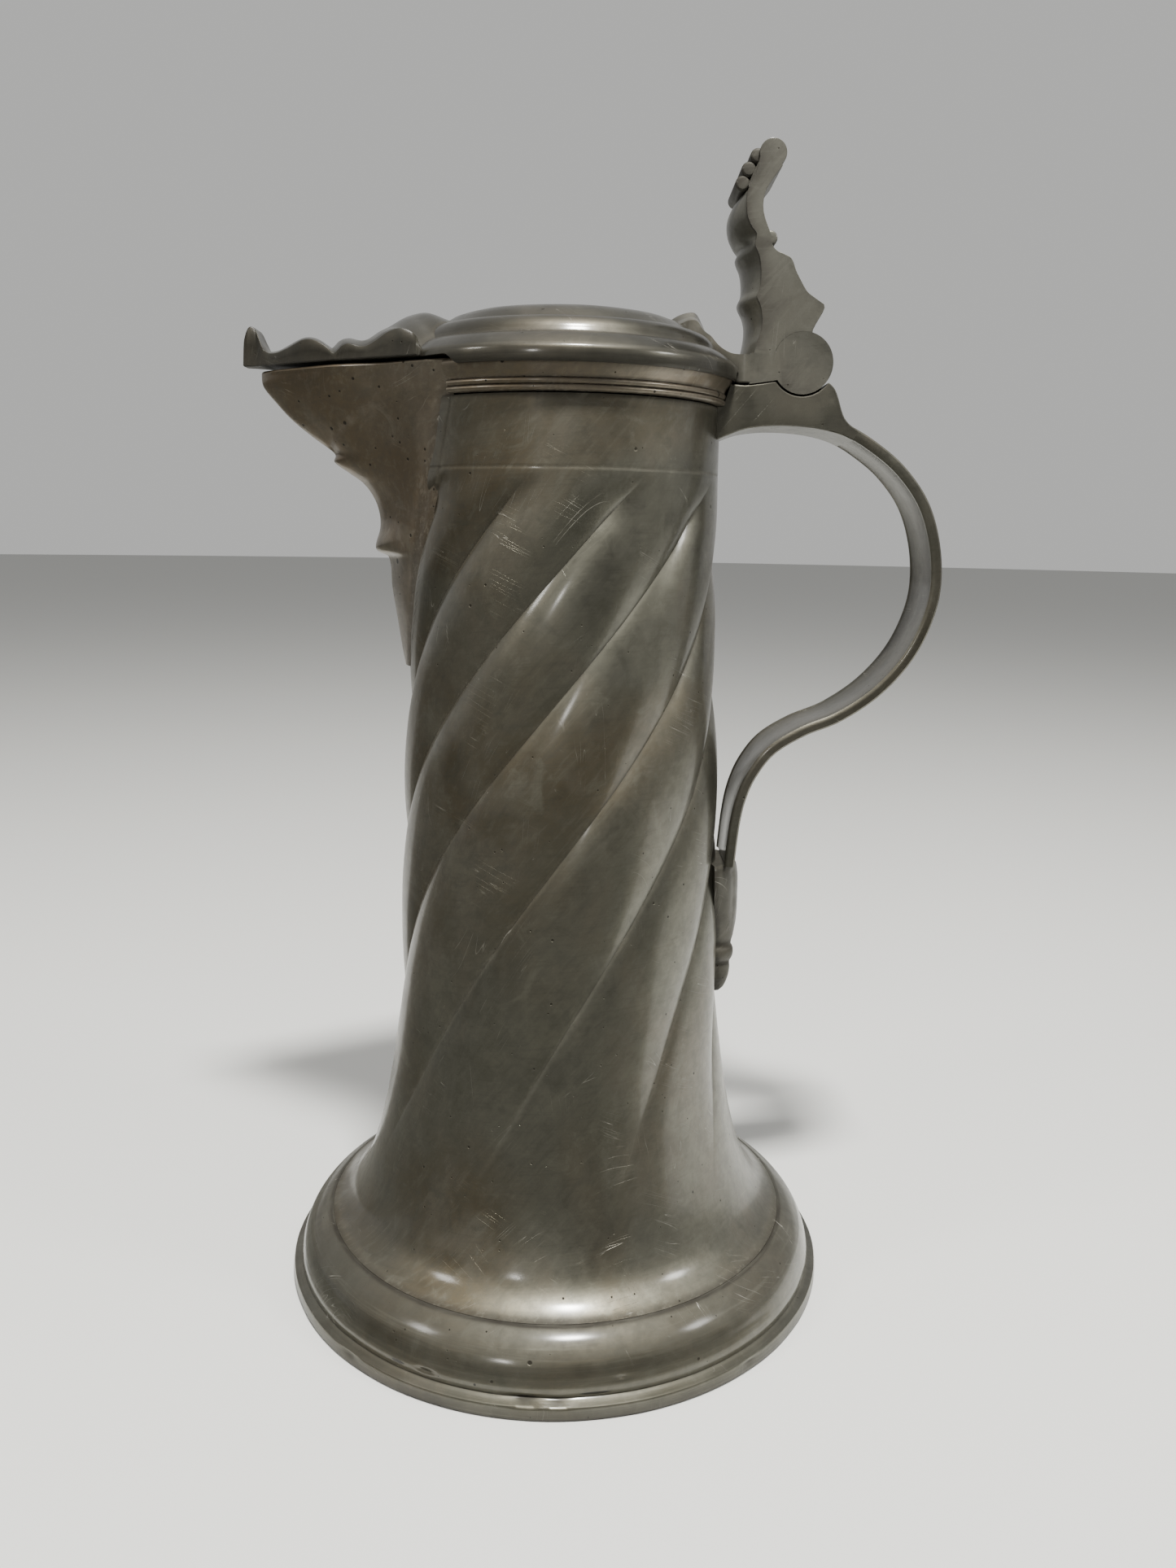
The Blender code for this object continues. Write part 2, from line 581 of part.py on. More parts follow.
def build_thumbpiece():
    """An upright web with a bowed, scalloped front plate, thumb ribs and a back stop."""
    web = [*THUMB_FRONT, *THUMB_BACK, (63.2, THUMB_FOOT)]
    thumb = place(slab("thumbpiece", web, THUMB_WEB_HALF), "thumbpiece", on_lid=True, material=LID)
    across = [THUMB_HALF * step / 4 for step in range(-4, 5)]
    rows = []
    for x, z in THUMB_FRONT:
        bowed = [(x + 0.3 - THUMB_BOW * (1 - (y / THUMB_HALF) ** 2), y, z) for y in across]
        back = x + THUMB_PLATE
        rows.append([*bowed, (back, THUMB_HALF, z), (back, -THUMB_HALF, z)])
    plate = place(loft("add_plate", rows), "add_plate", on_lid=True, cutter=True)
    boolean(thumb, plate, "UNION")
    roll = rod("add_roll", THUMB_TOP_RADIUS, THUMB_HALF + 0.1, THUMB_TOP, 20)
    boolean(thumb, place(roll, "add_roll", on_lid=True, cutter=True), "UNION")
    for i, centre in enumerate(THUMB_RIBS):
        rib = rod(f"add_rib_{i}", THUMB_RIB_RADIUS, THUMB_HALF - 2.2, centre, 12)
        boolean(thumb, place(rib, f"add_rib_{i}", on_lid=True, cutter=True), "UNION")
    clear = rod("cut_thumb_knuckle", KNUCKLE_RADIUS + SEAT_CLEARANCE, HANDLE_WIDTH, HINGE, 32)
    boolean(thumb, place(clear, "cut_thumb_knuckle", on_lid=True, cutter=True))
    return thumb


def build_hinge_pin():
    mesh = rod("hinge_pin", PIN_RADIUS, HANDLE_WIDTH / 2 - 0.2, HINGE)
    return place(mesh, "hinge_pin", material=HANDLE)


clear_scene()
PARTS = new_collection("pewter_flagon")
CUTTERS = new_collection("cutters")
DRUM_AXIS = new_empty("drum_axis", (AXIS_X, 0.0, 0.0))
LID_PIVOT = new_empty("lid_pivot", (HINGE[0], 0.0, HINGE[1]), DRUM_AXIS)
LID_PIVOT.rotation_euler.y = radians(LID_AJAR)

BODY = pewter("pewter_body", (0.36, 0.35, 0.31), 0.42)
SPOUT = pewter("pewter_spout", (0.30, 0.27, 0.22), 0.46)
HANDLE = pewter("pewter_handle", (0.34, 0.34, 0.30), 0.45)
LID = pewter("pewter_lid", (0.35, 0.34, 0.29), 0.42)

DRUM_CUTTER = drum_cutter()
LID_CUTTER = lid_cutter()
barrel = build_drum()
build_foot()
build_floor()
channel = build_spout()
boolean(barrel, channel)
build_collar()
build_handle()
build_lower_leaf()
build_lid()
build_spout_cover()
build_hinge_arm()
build_thumbpiece()
build_hinge_pin()
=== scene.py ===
"""Looks of the spouted pewter flagon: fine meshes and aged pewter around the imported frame.

Shapes are worked out in design millimetres: the drum's axis is x = y = 0, the standing plane is
z = 0, the handle is towards +X and the spout towards -X. finish_piece puts them in the frame.
"""

import json
from functools import partial, partialmethod, reduce
from math import atan2, cos, degrees, exp, hypot, pi, radians, sin, sqrt

import bmesh
import bpy
from mathutils import Matrix, Vector, noise


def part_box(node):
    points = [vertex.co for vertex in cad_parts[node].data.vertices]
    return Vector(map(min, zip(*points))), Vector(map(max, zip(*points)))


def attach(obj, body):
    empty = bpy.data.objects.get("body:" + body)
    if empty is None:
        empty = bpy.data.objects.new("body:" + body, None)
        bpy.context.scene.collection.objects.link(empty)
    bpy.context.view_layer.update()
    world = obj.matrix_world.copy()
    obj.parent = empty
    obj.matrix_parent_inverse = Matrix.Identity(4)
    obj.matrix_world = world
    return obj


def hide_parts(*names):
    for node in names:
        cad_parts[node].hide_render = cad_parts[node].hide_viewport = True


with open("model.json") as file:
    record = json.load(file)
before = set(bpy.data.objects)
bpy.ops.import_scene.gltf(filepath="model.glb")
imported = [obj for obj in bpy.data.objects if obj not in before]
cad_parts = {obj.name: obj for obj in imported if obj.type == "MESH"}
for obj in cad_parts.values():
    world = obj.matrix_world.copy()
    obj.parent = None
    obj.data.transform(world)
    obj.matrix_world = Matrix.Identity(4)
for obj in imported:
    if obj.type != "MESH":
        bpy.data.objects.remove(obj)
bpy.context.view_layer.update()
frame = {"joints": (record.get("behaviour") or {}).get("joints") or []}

# ---- places taken from the frame (mm)
MM = 0.001


def box_mm(node):
    low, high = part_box(node)
    return low / MM, high / MM


FOOT_LOW, FOOT_HIGH = box_mm("foot_ring")
HANDLE_LOW, HANDLE_HIGH = box_mm("handle")
LEAF_LOW, LEAF_HIGH = box_mm("lower_leaf")
FLOOR_LOW, FLOOR_HIGH = box_mm("floor_disc")
PIN_LOW, PIN_HIGH = box_mm("hinge_pin")

AXIS_X = (FOOT_LOW.x + FOOT_HIGH.x) / 2
FOOT_RADIUS = (FOOT_HIGH.y - FOOT_LOW.y) / 2
DRUM_TOP = box_mm("barrel")[1].z
COLLAR_TOP = box_mm("mouth_collar")[1].z
HANDLE_HALF = (HANDLE_HIGH.y - HANDLE_LOW.y) / 2
HINGE_M = Vector(frame["joints"][0]["pos_m"])
HINGE = (HINGE_M.x / MM - AXIS_X, HINGE_M.z / MM)
PIN_RADIUS = (PIN_HIGH.x - PIN_LOW.x) / 2
PIN_END = PIN_HIGH.y - 0.4        # the outer knuckles are peened shut over the pin

# ---- shared dimensions (mm, degrees)
GAP = 0.3                         # between parts that pass each other
WALL = 2.2
LID_AJAR = 0.2
LID_UNDER = COLLAR_TOP + GAP
LID_RIM_BOTTOM = 255.6
LID_RADIUS = 46.4
KNUCKLE_RADIUS = 7.8
KNUCKLE_HALF = 4.2
SEAT_RADIUS = KNUCKLE_RADIUS + 0.5

DRUM_BOTTOM = 19
DRUM_OUTLINE = (
    (19, 67.4), (20.2, 65.4), (22, 62.9), (24.2, 60.8), (27, 59), (33, 56.2), (41, 53.6), (52, 51),
    (68, 48.4), (90, 46.6), (120, 45.6), (150, 44.6), (180, 42.8), (205, 42), (232, 41.7),
    (249.2, 41.6))
LOBE_DEPTH = 2.2
LOBE_TOP = 232
NECK_LINE = 232.2                 # the line scribed where the lobes end
LOBE_COLUMNS = 34
VALLEYS = (-206.5, -166.5, -127.5, -82.5, -40.5, 2.5, 42.5, 82.5, 118.5)    # at TWIST_HEIGHT
TWIST_HEIGHT = 140

# (height, distance from the axis) down the beak's keel, with and without its hand-cut steps
SPOUT_KEEL = (
    (257.7, 82), (253.9, 81.6), (249.6, 78.2), (245.1, 73.9), (240.6, 68.2), (237.4, 63.6),
    (236.2, 62.6), (234.4, 62.9), (231.5, 58.8), (229, 55.2), (225.1, 52.3), (221, 50.9),
    (217, 50.8), (212.4, 52.1), (210.8, 51.5), (209.4, 48.6), (201, 47.7), (190.7, 46.1),
    (184, 45.1), (179.5, 44.2))
SMOOTH_KEEL = (
    (257.7, 81.7), (254, 80.6), (249.6, 77.2), (243, 69.5), (236, 61.6), (229, 55.4), (222, 51.6),
    (214, 49.6), (206, 48.3), (190.7, 46.1), (179.5, 44.2))
# (height, angle from the spout's middle) of the seam where the beak leaves the drum
SPOUT_ROOT = (
    (257.7, 50), (249.8, 48.9), (236.5, 43.7), (225.9, 39.2), (218.3, 34.6), (210.5, 28.7),
    (200.3, 23.6), (190, 17), (179.5, 7))
SPOUT_BOTTOM = 179.5
SPOUT_FLOOR = 216                 # the lowest point of the beak's hollow


# ---- small maths
def span_at(points, at):
    """The points in order, `at` kept inside them, and the index of the span it falls in."""
    points = sorted(points)
    at = min(max(at, points[0][0]), points[-1][0])
    return points, at, max(k for k in range(len(points) - 1) if points[k][0] <= at)


def curve_at(points, at):
    """The value at `at` on a smooth curve through (position, value) points."""
    points, at, i = span_at(points, at)
    (p0, v0), (p1, v1) = points[i], points[i + 1]

    def slope(k):
        low, high = points[max(k - 1, 0)], points[min(k + 1, len(points) - 1)]
        return (high[1] - low[1]) / (high[0] - low[0])

    span = p1 - p0
    t = (at - p0) / span
    rest = 1 - t
    return (v0 * (1 + 2 * t) * rest * rest + v1 * (1 + 2 * rest) * t * t
            + span * t * rest * (slope(i) * rest - slope(i + 1) * t))


def line_at(points, at):
    """The value at `at` on straight lines between (position, value) points."""
    points, at, i = span_at(points, at)
    (p0, v0), (p1, v1) = points[i], points[i + 1]
    return v0 + (v1 - v0) * (at - p0) / (p1 - p0)


def spread(start, end, count):
    """`count` evenly spaced values after `start`, the last one being `end`."""
    return [start + (end - start) * i / count for i in range(1, count + 1)]


def ramp(low, high, at):
    t = min(max((at - low) / (high - low), 0), 1)
    return t * t * (3 - 2 * t)


def bump(at, centre, width):
    """A smooth hill of height 1."""
    return exp(-((at - centre) / width) ** 2)


def creases(at, *lines):
    """Darkening in narrow lines, dirt and painted shade, each given as (place, half width,
    strength).
    """
    return sum(strength * bump(at, place, width) for place, width, strength in lines)


def angle_of(x, y):
    return degrees(atan2(y, x))


def angle_off(angle, middle):
    """How far an angle is from another one, from -180 to 180 degrees."""
    return (angle - middle + 180) % 360 - 180


def waver(x, y, z, size, seed=0):
    """Smooth noise between about -1 and 1 with features of `size` mm."""
    return noise.noise(Vector((x / size + seed, y / size - seed, z / size + 2 * seed)))


def smooth_path(points, steps):
    """Points along a Catmull-Rom curve through the given points."""
    ends = [points[0], *points, points[-1]]
    path = []
    for i in range(1, len(ends) - 2):
        a, b, c, d = (Vector(ends[k]) for k in (i - 1, i, i + 1, i + 2))
        for step in range(steps):
            t = step / steps
            path.append(tuple(0.5 * (2 * b + (c - a) * t + (2 * a - 5 * b + 4 * c - d) * t * t
                                     + (3 * b - a - 3 * c + d) * t ** 3)))
    path.append(tuple(points[-1]))
    return path


def arc(centre, radius, start, end, steps):
    angles = [radians(start + (end - start) * i / steps) for i in range(steps + 1)]
    return [(centre[0] + radius * cos(a), centre[1] + radius * sin(a)) for a in angles]


def rounded(before, corner, after, size, steps=5):
    """Points round a corner, from `size` before it to `size` after it."""
    p = Vector(corner)
    start = p + (Vector(before) - p).normalized() * size
    end = p + (Vector(after) - p).normalized() * size
    shares = [k / steps for k in range(steps + 1)]
    return [tuple(start * (1 - t) ** 2 + p * 2 * t * (1 - t) + end * t * t) for t in shares]


# ---- mesh building
def skin(rings, loop=False):
    """A closed surface through rings of equally many points: it has end caps, or it is a loop."""
    rows, count = len(rings), len(rings[0])
    faces = []
    for i in range(rows if loop else rows - 1):
        here, above = i * count, (i + 1) % rows * count
        for j in range(count):
            beside = (j + 1) % count
            faces.append((here + j, here + beside, above + beside, above + j))
    if not loop:
        faces.append(tuple(range(count)))
        faces.append(tuple(range((rows - 1) * count, rows * count)))
    mesh = bpy.data.meshes.new("part")
    mesh.from_pydata([Vector(point) * MM for ring in rings for point in ring], [], faces)
    return edit(mesh, face_out)


def edit(mesh, *steps):
    """Runs bmesh steps on a mesh."""
    bm = bmesh.new()
    bm.from_mesh(mesh)
    for step in steps:
        step(bm)
    bm.to_mesh(mesh)
    bm.free()
    return mesh


def face_out(bm):
    bmesh.ops.recalc_face_normals(bm, faces=bm.faces)


def split_caps(bm):
    """Triangles for the many-sided faces, which may be hollow-edged."""
    caps = [face for face in bm.faces if len(face.verts) > 4]
    bmesh.ops.triangulate(bm, faces=caps, quad_method="BEAUTY", ngon_method="BEAUTY")


def weld(bm):
    bmesh.ops.remove_doubles(bm, verts=bm.verts, dist=1e-6)


def turned(outline, steps, angles=(0, 360), shape=None):
    """A solid of revolution. shape(radius, angle in degrees, z) may move a point."""
    whole = angles[1] - angles[0] >= 360
    count = steps if whole else steps + 1
    rings = []
    for i in range(count):
        turn = angles[0] + (angles[1] - angles[0]) * i / steps
        ring = []
        for r, z in outline:
            if shape:
                r, z = shape(r, turn, z)
            ring.append((r * cos(radians(turn)), r * sin(radians(turn)), z))
        rings.append(ring)
    return edit(skin(rings, loop=whole), weld, face_out)


def slab(outline, half_width):
    """A side-view outline, (x, z) points, given thickness in y."""
    rings = [[(x, y, z) for x, z in outline] for y in (-half_width, half_width)]
    return skin(rings)


def rod(radius, half_length, centre, segments=48, rounding=0):
    """A cylinder along y, centred in the side view. Its rims may be rounded."""
    levels = [(-half_length, max(radius - rounding, 0.1))]
    if rounding:
        for k in range(1, 5):
            a = radians(22.5 * k)
            levels.append((rounding * (1 - cos(a)) - half_length, radius - rounding * (1 - sin(a))))
    levels += [(-y, r) for y, r in reversed(levels)]
    rings = [[(x, y, z) for x, z in arc(centre, r, 0, 360 * (1 - 1 / segments), segments - 1)]
             for y, r in levels]
    return skin(rings)


def linked(data, name=None):
    obj = bpy.data.objects.new(name or data.name, data)
    bpy.context.scene.collection.objects.link(obj)
    return obj


def baked(obj):
    """The object's mesh with its modifiers applied."""
    bpy.context.view_layer.update()
    graph = bpy.context.evaluated_depsgraph_get()
    mesh = bpy.data.meshes.new_from_object(obj.evaluated_get(graph))
    bpy.data.objects.remove(obj, do_unlink=True)
    return mesh


def combined(mesh, others, operation):
    """The mesh with others cut from it or joined to it. The others are used up."""
    for part in (mesh, *others):
        edit(part, split_caps, face_out)
    obj = linked(mesh)
    helpers = [linked(other) for other in others]
    for helper in helpers:
        modifier = obj.modifiers.new(helper.name, "BOOLEAN")
        modifier.operation = operation
        modifier.object = helper
        modifier.solver = "EXACT"
    result = baked(obj)
    for helper in helpers:
        bpy.data.objects.remove(helper, do_unlink=True)
    return result


def join(mesh, *others):
    return combined(mesh, others, "UNION")


def cut(mesh, *others):
    return combined(mesh, others, "DIFFERENCE")


def bevelled(mesh, width, segments):
    """The mesh with its sharp edges broken."""
    obj = linked(mesh)
    modifier = obj.modifiers.new("edges", "BEVEL")
    modifier.width = width * MM
    modifier.segments = segments
    modifier.limit_method = "ANGLE"
    modifier.angle_limit = radians(28)
    return baked(obj)


def dirt_and_shade(mesh, depth_at):
    """Stores how dark each point is painted, 0 to 1: dirt, and painted shade in creases, under
    overhangs and near the table, for the material to read.
    """
    layer = mesh.attributes.new("dirt_and_shade", "FLOAT", "POINT")
    values = [min(max(depth_at(*(v.co / MM)), 0), 1) for v in mesh.vertices]
    layer.data.foreach_set("value", values)
    return mesh


CREASE = {"lid_arm": 20, "thumb_lever": 20}      # angle of a hard edge on the flat-sided pieces
USUAL_CREASE = 32
LID_TURN = (Matrix.Translation(HINGE_M) @ Matrix.Rotation(radians(LID_AJAR), 4, "Y")
            @ Matrix.Translation(-HINGE_M))


def finish_piece(mesh, name, body, replaced, material):
    """Puts a piece made in design coordinates where the frame has its node."""
    mesh.transform(Matrix.Translation((AXIS_X * MM, 0, 0)))
    if body == "lid":
        mesh.transform(LID_TURN)
    mesh.name = name
    mesh.shade_smooth()
    mesh.set_sharp_from_angle(angle=radians(CREASE.get(name, USUAL_CREASE)))
    mesh.materials.clear()
    mesh.materials.append(material)
    obj = linked(mesh, name)
    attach(obj, body)
    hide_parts(replaced)


# ---- camera, light and floor
CAMERA_PLACE = (-0.0003, -0.3426, 0.2171)
CAMERA_LENS = 27.9
CAMERA_DOWN = radians(11.75)
CAMERA_ROLL = radians(0.94)
LIGHTS_AIM = Vector((0, 0, 0.12))
# name, azimuth (0 in front, positive towards +X), elevation, distance and size in m, watts, colour
LIGHTS = (
    ("window_left", -62, 34, 1.15, (0.16, 0.16), 2.6, (1, 0.98, 0.93)),
    ("window_middle", -20, 20, 1.25, (0.08, 0.08), 1.2, (1, 0.98, 0.94)),
    ("window_right", 70, 33, 1.15, (0.18, 0.15), 3.7, (1, 0.99, 0.95)),
    ("overhead", 13, 67, 1.2, (0.15, 0.11), 36, (1, 0.99, 0.94)))
STAGE_RADIUS = 9000
CARD_INNER, CARD_OUTER, CARD_HEIGHT = 92, 8900, 2
WALL_TONE = (0.52, 0.52, 0.51)
FRONT_TONE = (0.165, 0.165, 0.16)


def make_camera():
    camera = linked(bpy.data.cameras.new("camera"))
    camera.data.sensor_width = 36
    camera.data.lens = CAMERA_LENS
    camera.data.clip_start = 0.01
    camera.location = CAMERA_PLACE
    turn = Matrix.Rotation(pi / 2 - CAMERA_DOWN, 4, "X") @ Matrix.Rotation(CAMERA_ROLL, 4, "Z")
    camera.rotation_euler = turn.to_euler()
    bpy.context.scene.camera = camera


def area_light(name, azimuth, elevation, distance, size, watts, colour):
    """A soft box that faces the object."""
    light = bpy.data.lights.new(name, "AREA")
    light.shape = "RECTANGLE"
    light.size, light.size_y = size
    light.energy = watts
    light.color = colour
    obj = linked(light)
    a, e = radians(azimuth), radians(elevation)
    obj.location = LIGHTS_AIM + distance * Vector((sin(a) * cos(e), -cos(a) * cos(e), sin(e)))
    obj.rotation_euler = (LIGHTS_AIM - obj.location).to_track_quat("-Z", "Y").to_euler()


def plain(name, colour, roughness):
    return dressed(name, lambda n: {"Base Color": (*colour, 1), "Roughness": roughness,
                                    "Specular IOR Level": 0})


def make_stage():
    """A pale floor, and over it a dark card that only the pewter's reflections see."""
    floor = linked(turned([(0, 0), (STAGE_RADIUS, 0)], 96), "floor")
    floor.data.materials.append(plain("pale_floor", (0.7, 0.7, 0.685), 0.6))
    rim = [(CARD_INNER, CARD_HEIGHT), (CARD_OUTER, CARD_HEIGHT)]
    card = linked(turned(rim, 60, angles=(-215, -25)), "dim_card")
    card.data.materials.append(plain("dim_cloth", (0.13, 0.13, 0.12), 0.9))
    card.visible_camera = False
    card.visible_shadow = False
    card.visible_diffuse = False
    make_studio()
    for light in LIGHTS:
        area_light(*light)


def make_studio():
    """Light walls behind the object and to its right, and in front a dimmer room, which only
    reflections and diffuse light see."""
    world = bpy.data.worlds.new("studio")
    bpy.context.scene.world = world
    world.use_nodes = True
    n = Nodes(world.node_tree)
    x, y, z = n.split(n.add("TexCoord", output="Generated"))
    right = n.ramp(x, 0.35, 0.95)
    above = n.ramp(z, 0.55, 0.95)
    dim = n.times(n.ramp(y, 0.15, -0.3), n.minus(1, n.times(right, 0.2)))
    dim = n.times(dim, n.minus(1, n.times(above, 0.3)))
    seen = n.add("LightPath", output="Is Camera Ray")
    dim = n.times(dim, n.minus(1, seen))
    n.feed(n.tree.nodes["Background"], {"Color": n.mix(dim, WALL_TONE, FRONT_TONE)})


# ---- material
class Nodes:
    """Short ways to add shader nodes. Values are numbers or sockets, results are sockets."""

    def __init__(self, tree):
        self.tree = tree

    def feed(self, node, values):
        for key, value in values.items():
            if isinstance(value, bpy.types.NodeSocket):
                self.tree.links.new(value, node.inputs[key])
            else:
                node.inputs[key].default_value = value

    def add(self, kind, inputs=None, output=0, **settings):
        node = self.tree.nodes.new("ShaderNode" + kind)
        for key, value in settings.items():
            setattr(node, key, value)
        self.feed(node, inputs or {})
        return node.outputs[output]

    def split(self, vector):
        return self.add("SeparateXYZ", {0: vector}).node.outputs

    def maths(self, operation, a, b=0, clamp=False):
        return self.add("Math", {0: a, 1: b}, operation=operation, use_clamp=clamp)

    plus = partialmethod(maths, "ADD")
    minus = partialmethod(maths, "SUBTRACT")
    times = partialmethod(maths, "MULTIPLY")

    def most(self, values):
        return reduce(partial(self.maths, "MAXIMUM"), values)

    def stretch(self, vector, scale, turn=None, shift=(0, 0, 0)):
        """Turned first, then scaled, so that strokes run along the turned axes."""
        if turn:
            vector = self.add("Mapping", {"Vector": vector, "Rotation": turn})
        return self.add("Mapping", {"Vector": vector, "Scale": scale, "Location": shift})

    def noise(self, vector, scale, detail=3, roughness=0.55, distortion=0):
        return self.add("TexNoise", {"Vector": vector, "Scale": scale, "Detail": detail,
                                     "Roughness": roughness, "Distortion": distortion})

    def cells(self, vector, scale):
        """The distance to the nearest cell's centre, and a random value for that cell."""
        distance = self.add("TexVoronoi", {"Vector": vector, "Scale": scale})
        return distance, self.add("SeparateColor", {0: distance.node.outputs["Color"]})

    def ramp(self, value, low, high, to_low=0, to_high=1):
        return self.add("MapRange", {"Value": value, "From Min": low, "From Max": high,
                                     "To Min": to_low, "To Max": to_high},
                        interpolation_type="SMOOTHSTEP")

    def mark(self, where, centre, half_length, half_width):
        """1 inside a short level gouge at a place given in mm, 0 outside it."""
        place = tuple(c * MM for c in centre)
        along, across = 1 / (half_length * MM), 1 / (half_width * MM)
        off = self.add("VectorMath", {0: where, 1: place}, operation="SUBTRACT")
        off = self.stretch(off, (along, along, across))
        return self.ramp(self.add("VectorMath", {0: off}, "Value", operation="LENGTH"), 1, 0.55)

    def mix(self, factor, a, b):
        a, b = ((*tone, 1) if isinstance(tone, tuple) else tone for tone in (a, b))
        return self.add("Mix", {0: factor, 6: a, 7: b}, 2, data_type="RGBA")

    def layered(self, tone, layers):
        """A tone under (share, colour) layers."""
        for share, colour in layers:
            tone = self.mix(share, tone, colour)
        return tone


def dressed(name, looks):
    """A new material. looks(nodes) gives the values and sockets of its surface."""
    material = bpy.data.materials.new(name)
    material.use_nodes = True
    n = Nodes(material.node_tree)
    n.feed(n.tree.nodes["Principled BSDF"], looks(n))
    return material


# the tone of dirt and of painted shade in creases and under overhangs
DIRT_AND_SHADE_TONE = (0.016, 0.013, 0.009)
PIT_TONE = (0.02, 0.017, 0.012)
SCRATCH_TONE = (0.62, 0.6, 0.54)
SCRATCH_TURNS = ((0.3, 1.1, 0.2), (0.2, -0.9, 0.9), (0.5, 0.5, -0.8))
PIT_SIZES = ((95, 0.05), (230, 0.08), (420, 0.1))       # (cells per metre, largest size in cells)
COAT_ROUGHNESS = 0.16
BUMP_DEPTH = 0.00004


def shade(colour, factor):
    return tuple(c * factor for c in colour)


def mottled(n, where, cloud, fine, brown, colour, patina):
    """The metal's tone: warm patina, mauve clouds, worn pale patches and darker rubbed spots."""
    pale = shade(colour, 1.35)
    mauve = tuple(c * k for c, k in zip(colour, (1, 0.93, 0.89)))
    worn = n.noise(n.stretch(where, (1, 1, 0.8), shift=(7, 5, 1)), 48, 5, 0.6)
    rubbed = n.noise(n.stretch(where, (1, 1, 1), shift=(2, 8, 5)), 95, 6, 0.7, 0.8)
    layers = (
        (brown, patina),
        (n.ramp(cloud, 0.5, 0.68), mauve),
        (n.times(n.ramp(worn, 0.5, 0.72), 0.45), pale),
        (n.ramp(fine, 0.42, 0.62, 0, 0.26), shade(colour, 0.55)),
        (n.ramp(rubbed, 0.5, 0.72, 0, 0.55), shade(colour, 0.62)),
        (n.ramp(rubbed, 0.46, 0.3, 0, 0.45), pale))
    return n.layered(colour, layers)


def brushing(n, where, brush):
    """Rings round the axis on turned work, drifting strokes on hand-finished work."""
    if brush == "strokes":
        return n.noise(n.stretch(where, (520, 520, 60), (0.1, -0.72, 0)), 1, 3, 0.7)
    x, y, z = n.split(where)
    from_axis = n.minus(x, AXIS_X * MM)
    radius = n.maths("SQRT", n.plus(n.maths("POWER", from_axis, 2), n.maths("POWER", y, 2)))
    along = n.plus(z, n.times(radius, 0.7))
    ringed = {0: n.times(x, 26), 1: n.times(y, 26), 2: n.times(along, 2300)}
    return n.noise(n.add("CombineXYZ", ringed), 1, 3, 0.7)


def scratches(n, where):
    """Thin bright threads in a few directions, where a mask lets them show."""
    threads = []
    for i, turn in enumerate(SCRATCH_TURNS):
        line = n.noise(n.stretch(where, (700, 22, 22), turn, (i, 2 * i, 3)), 1, 1, 0.4)
        thin = n.ramp(n.maths("ABSOLUTE", n.minus(line, 0.5)), 0.004, 0)
        mask = n.noise(n.stretch(where, (1, 1, 1), shift=(4 * i, 1, 2)), 60, 2)
        threads.append(n.times(thin, n.ramp(mask, 0.58, 0.7)))
    return n.most(threads)


def pitting(n, where, size, gouges, pitted):
    """Scattered dark specks of different sizes, some placed gouges and one more pitted patch."""
    specks = []
    for scale, largest in PIT_SIZES:
        distance, chance = n.cells(where, scale)
        radius = n.ramp(chance, 0.66, 1, 0, largest * size)
        speck = n.ramp(n.minus(distance, radius), 0.018, -0.01)
        specks.append(n.times(speck, n.ramp(chance, 0.66, 0.72)))
    specks += [n.mark(where, *gouge) for gouge in gouges]
    if pitted:
        distance, chance = n.cells(where, 620)
        pit = n.times(n.ramp(distance, 0.34, 0.16), n.ramp(chance, 0.45, 0.52))
        specks.append(n.times(pit, n.mark(where, *pitted)))
    return n.most(specks)


def pewter(name, *tones, **work):
    return dressed(name, lambda n: pewter_looks(n, *tones, **work))


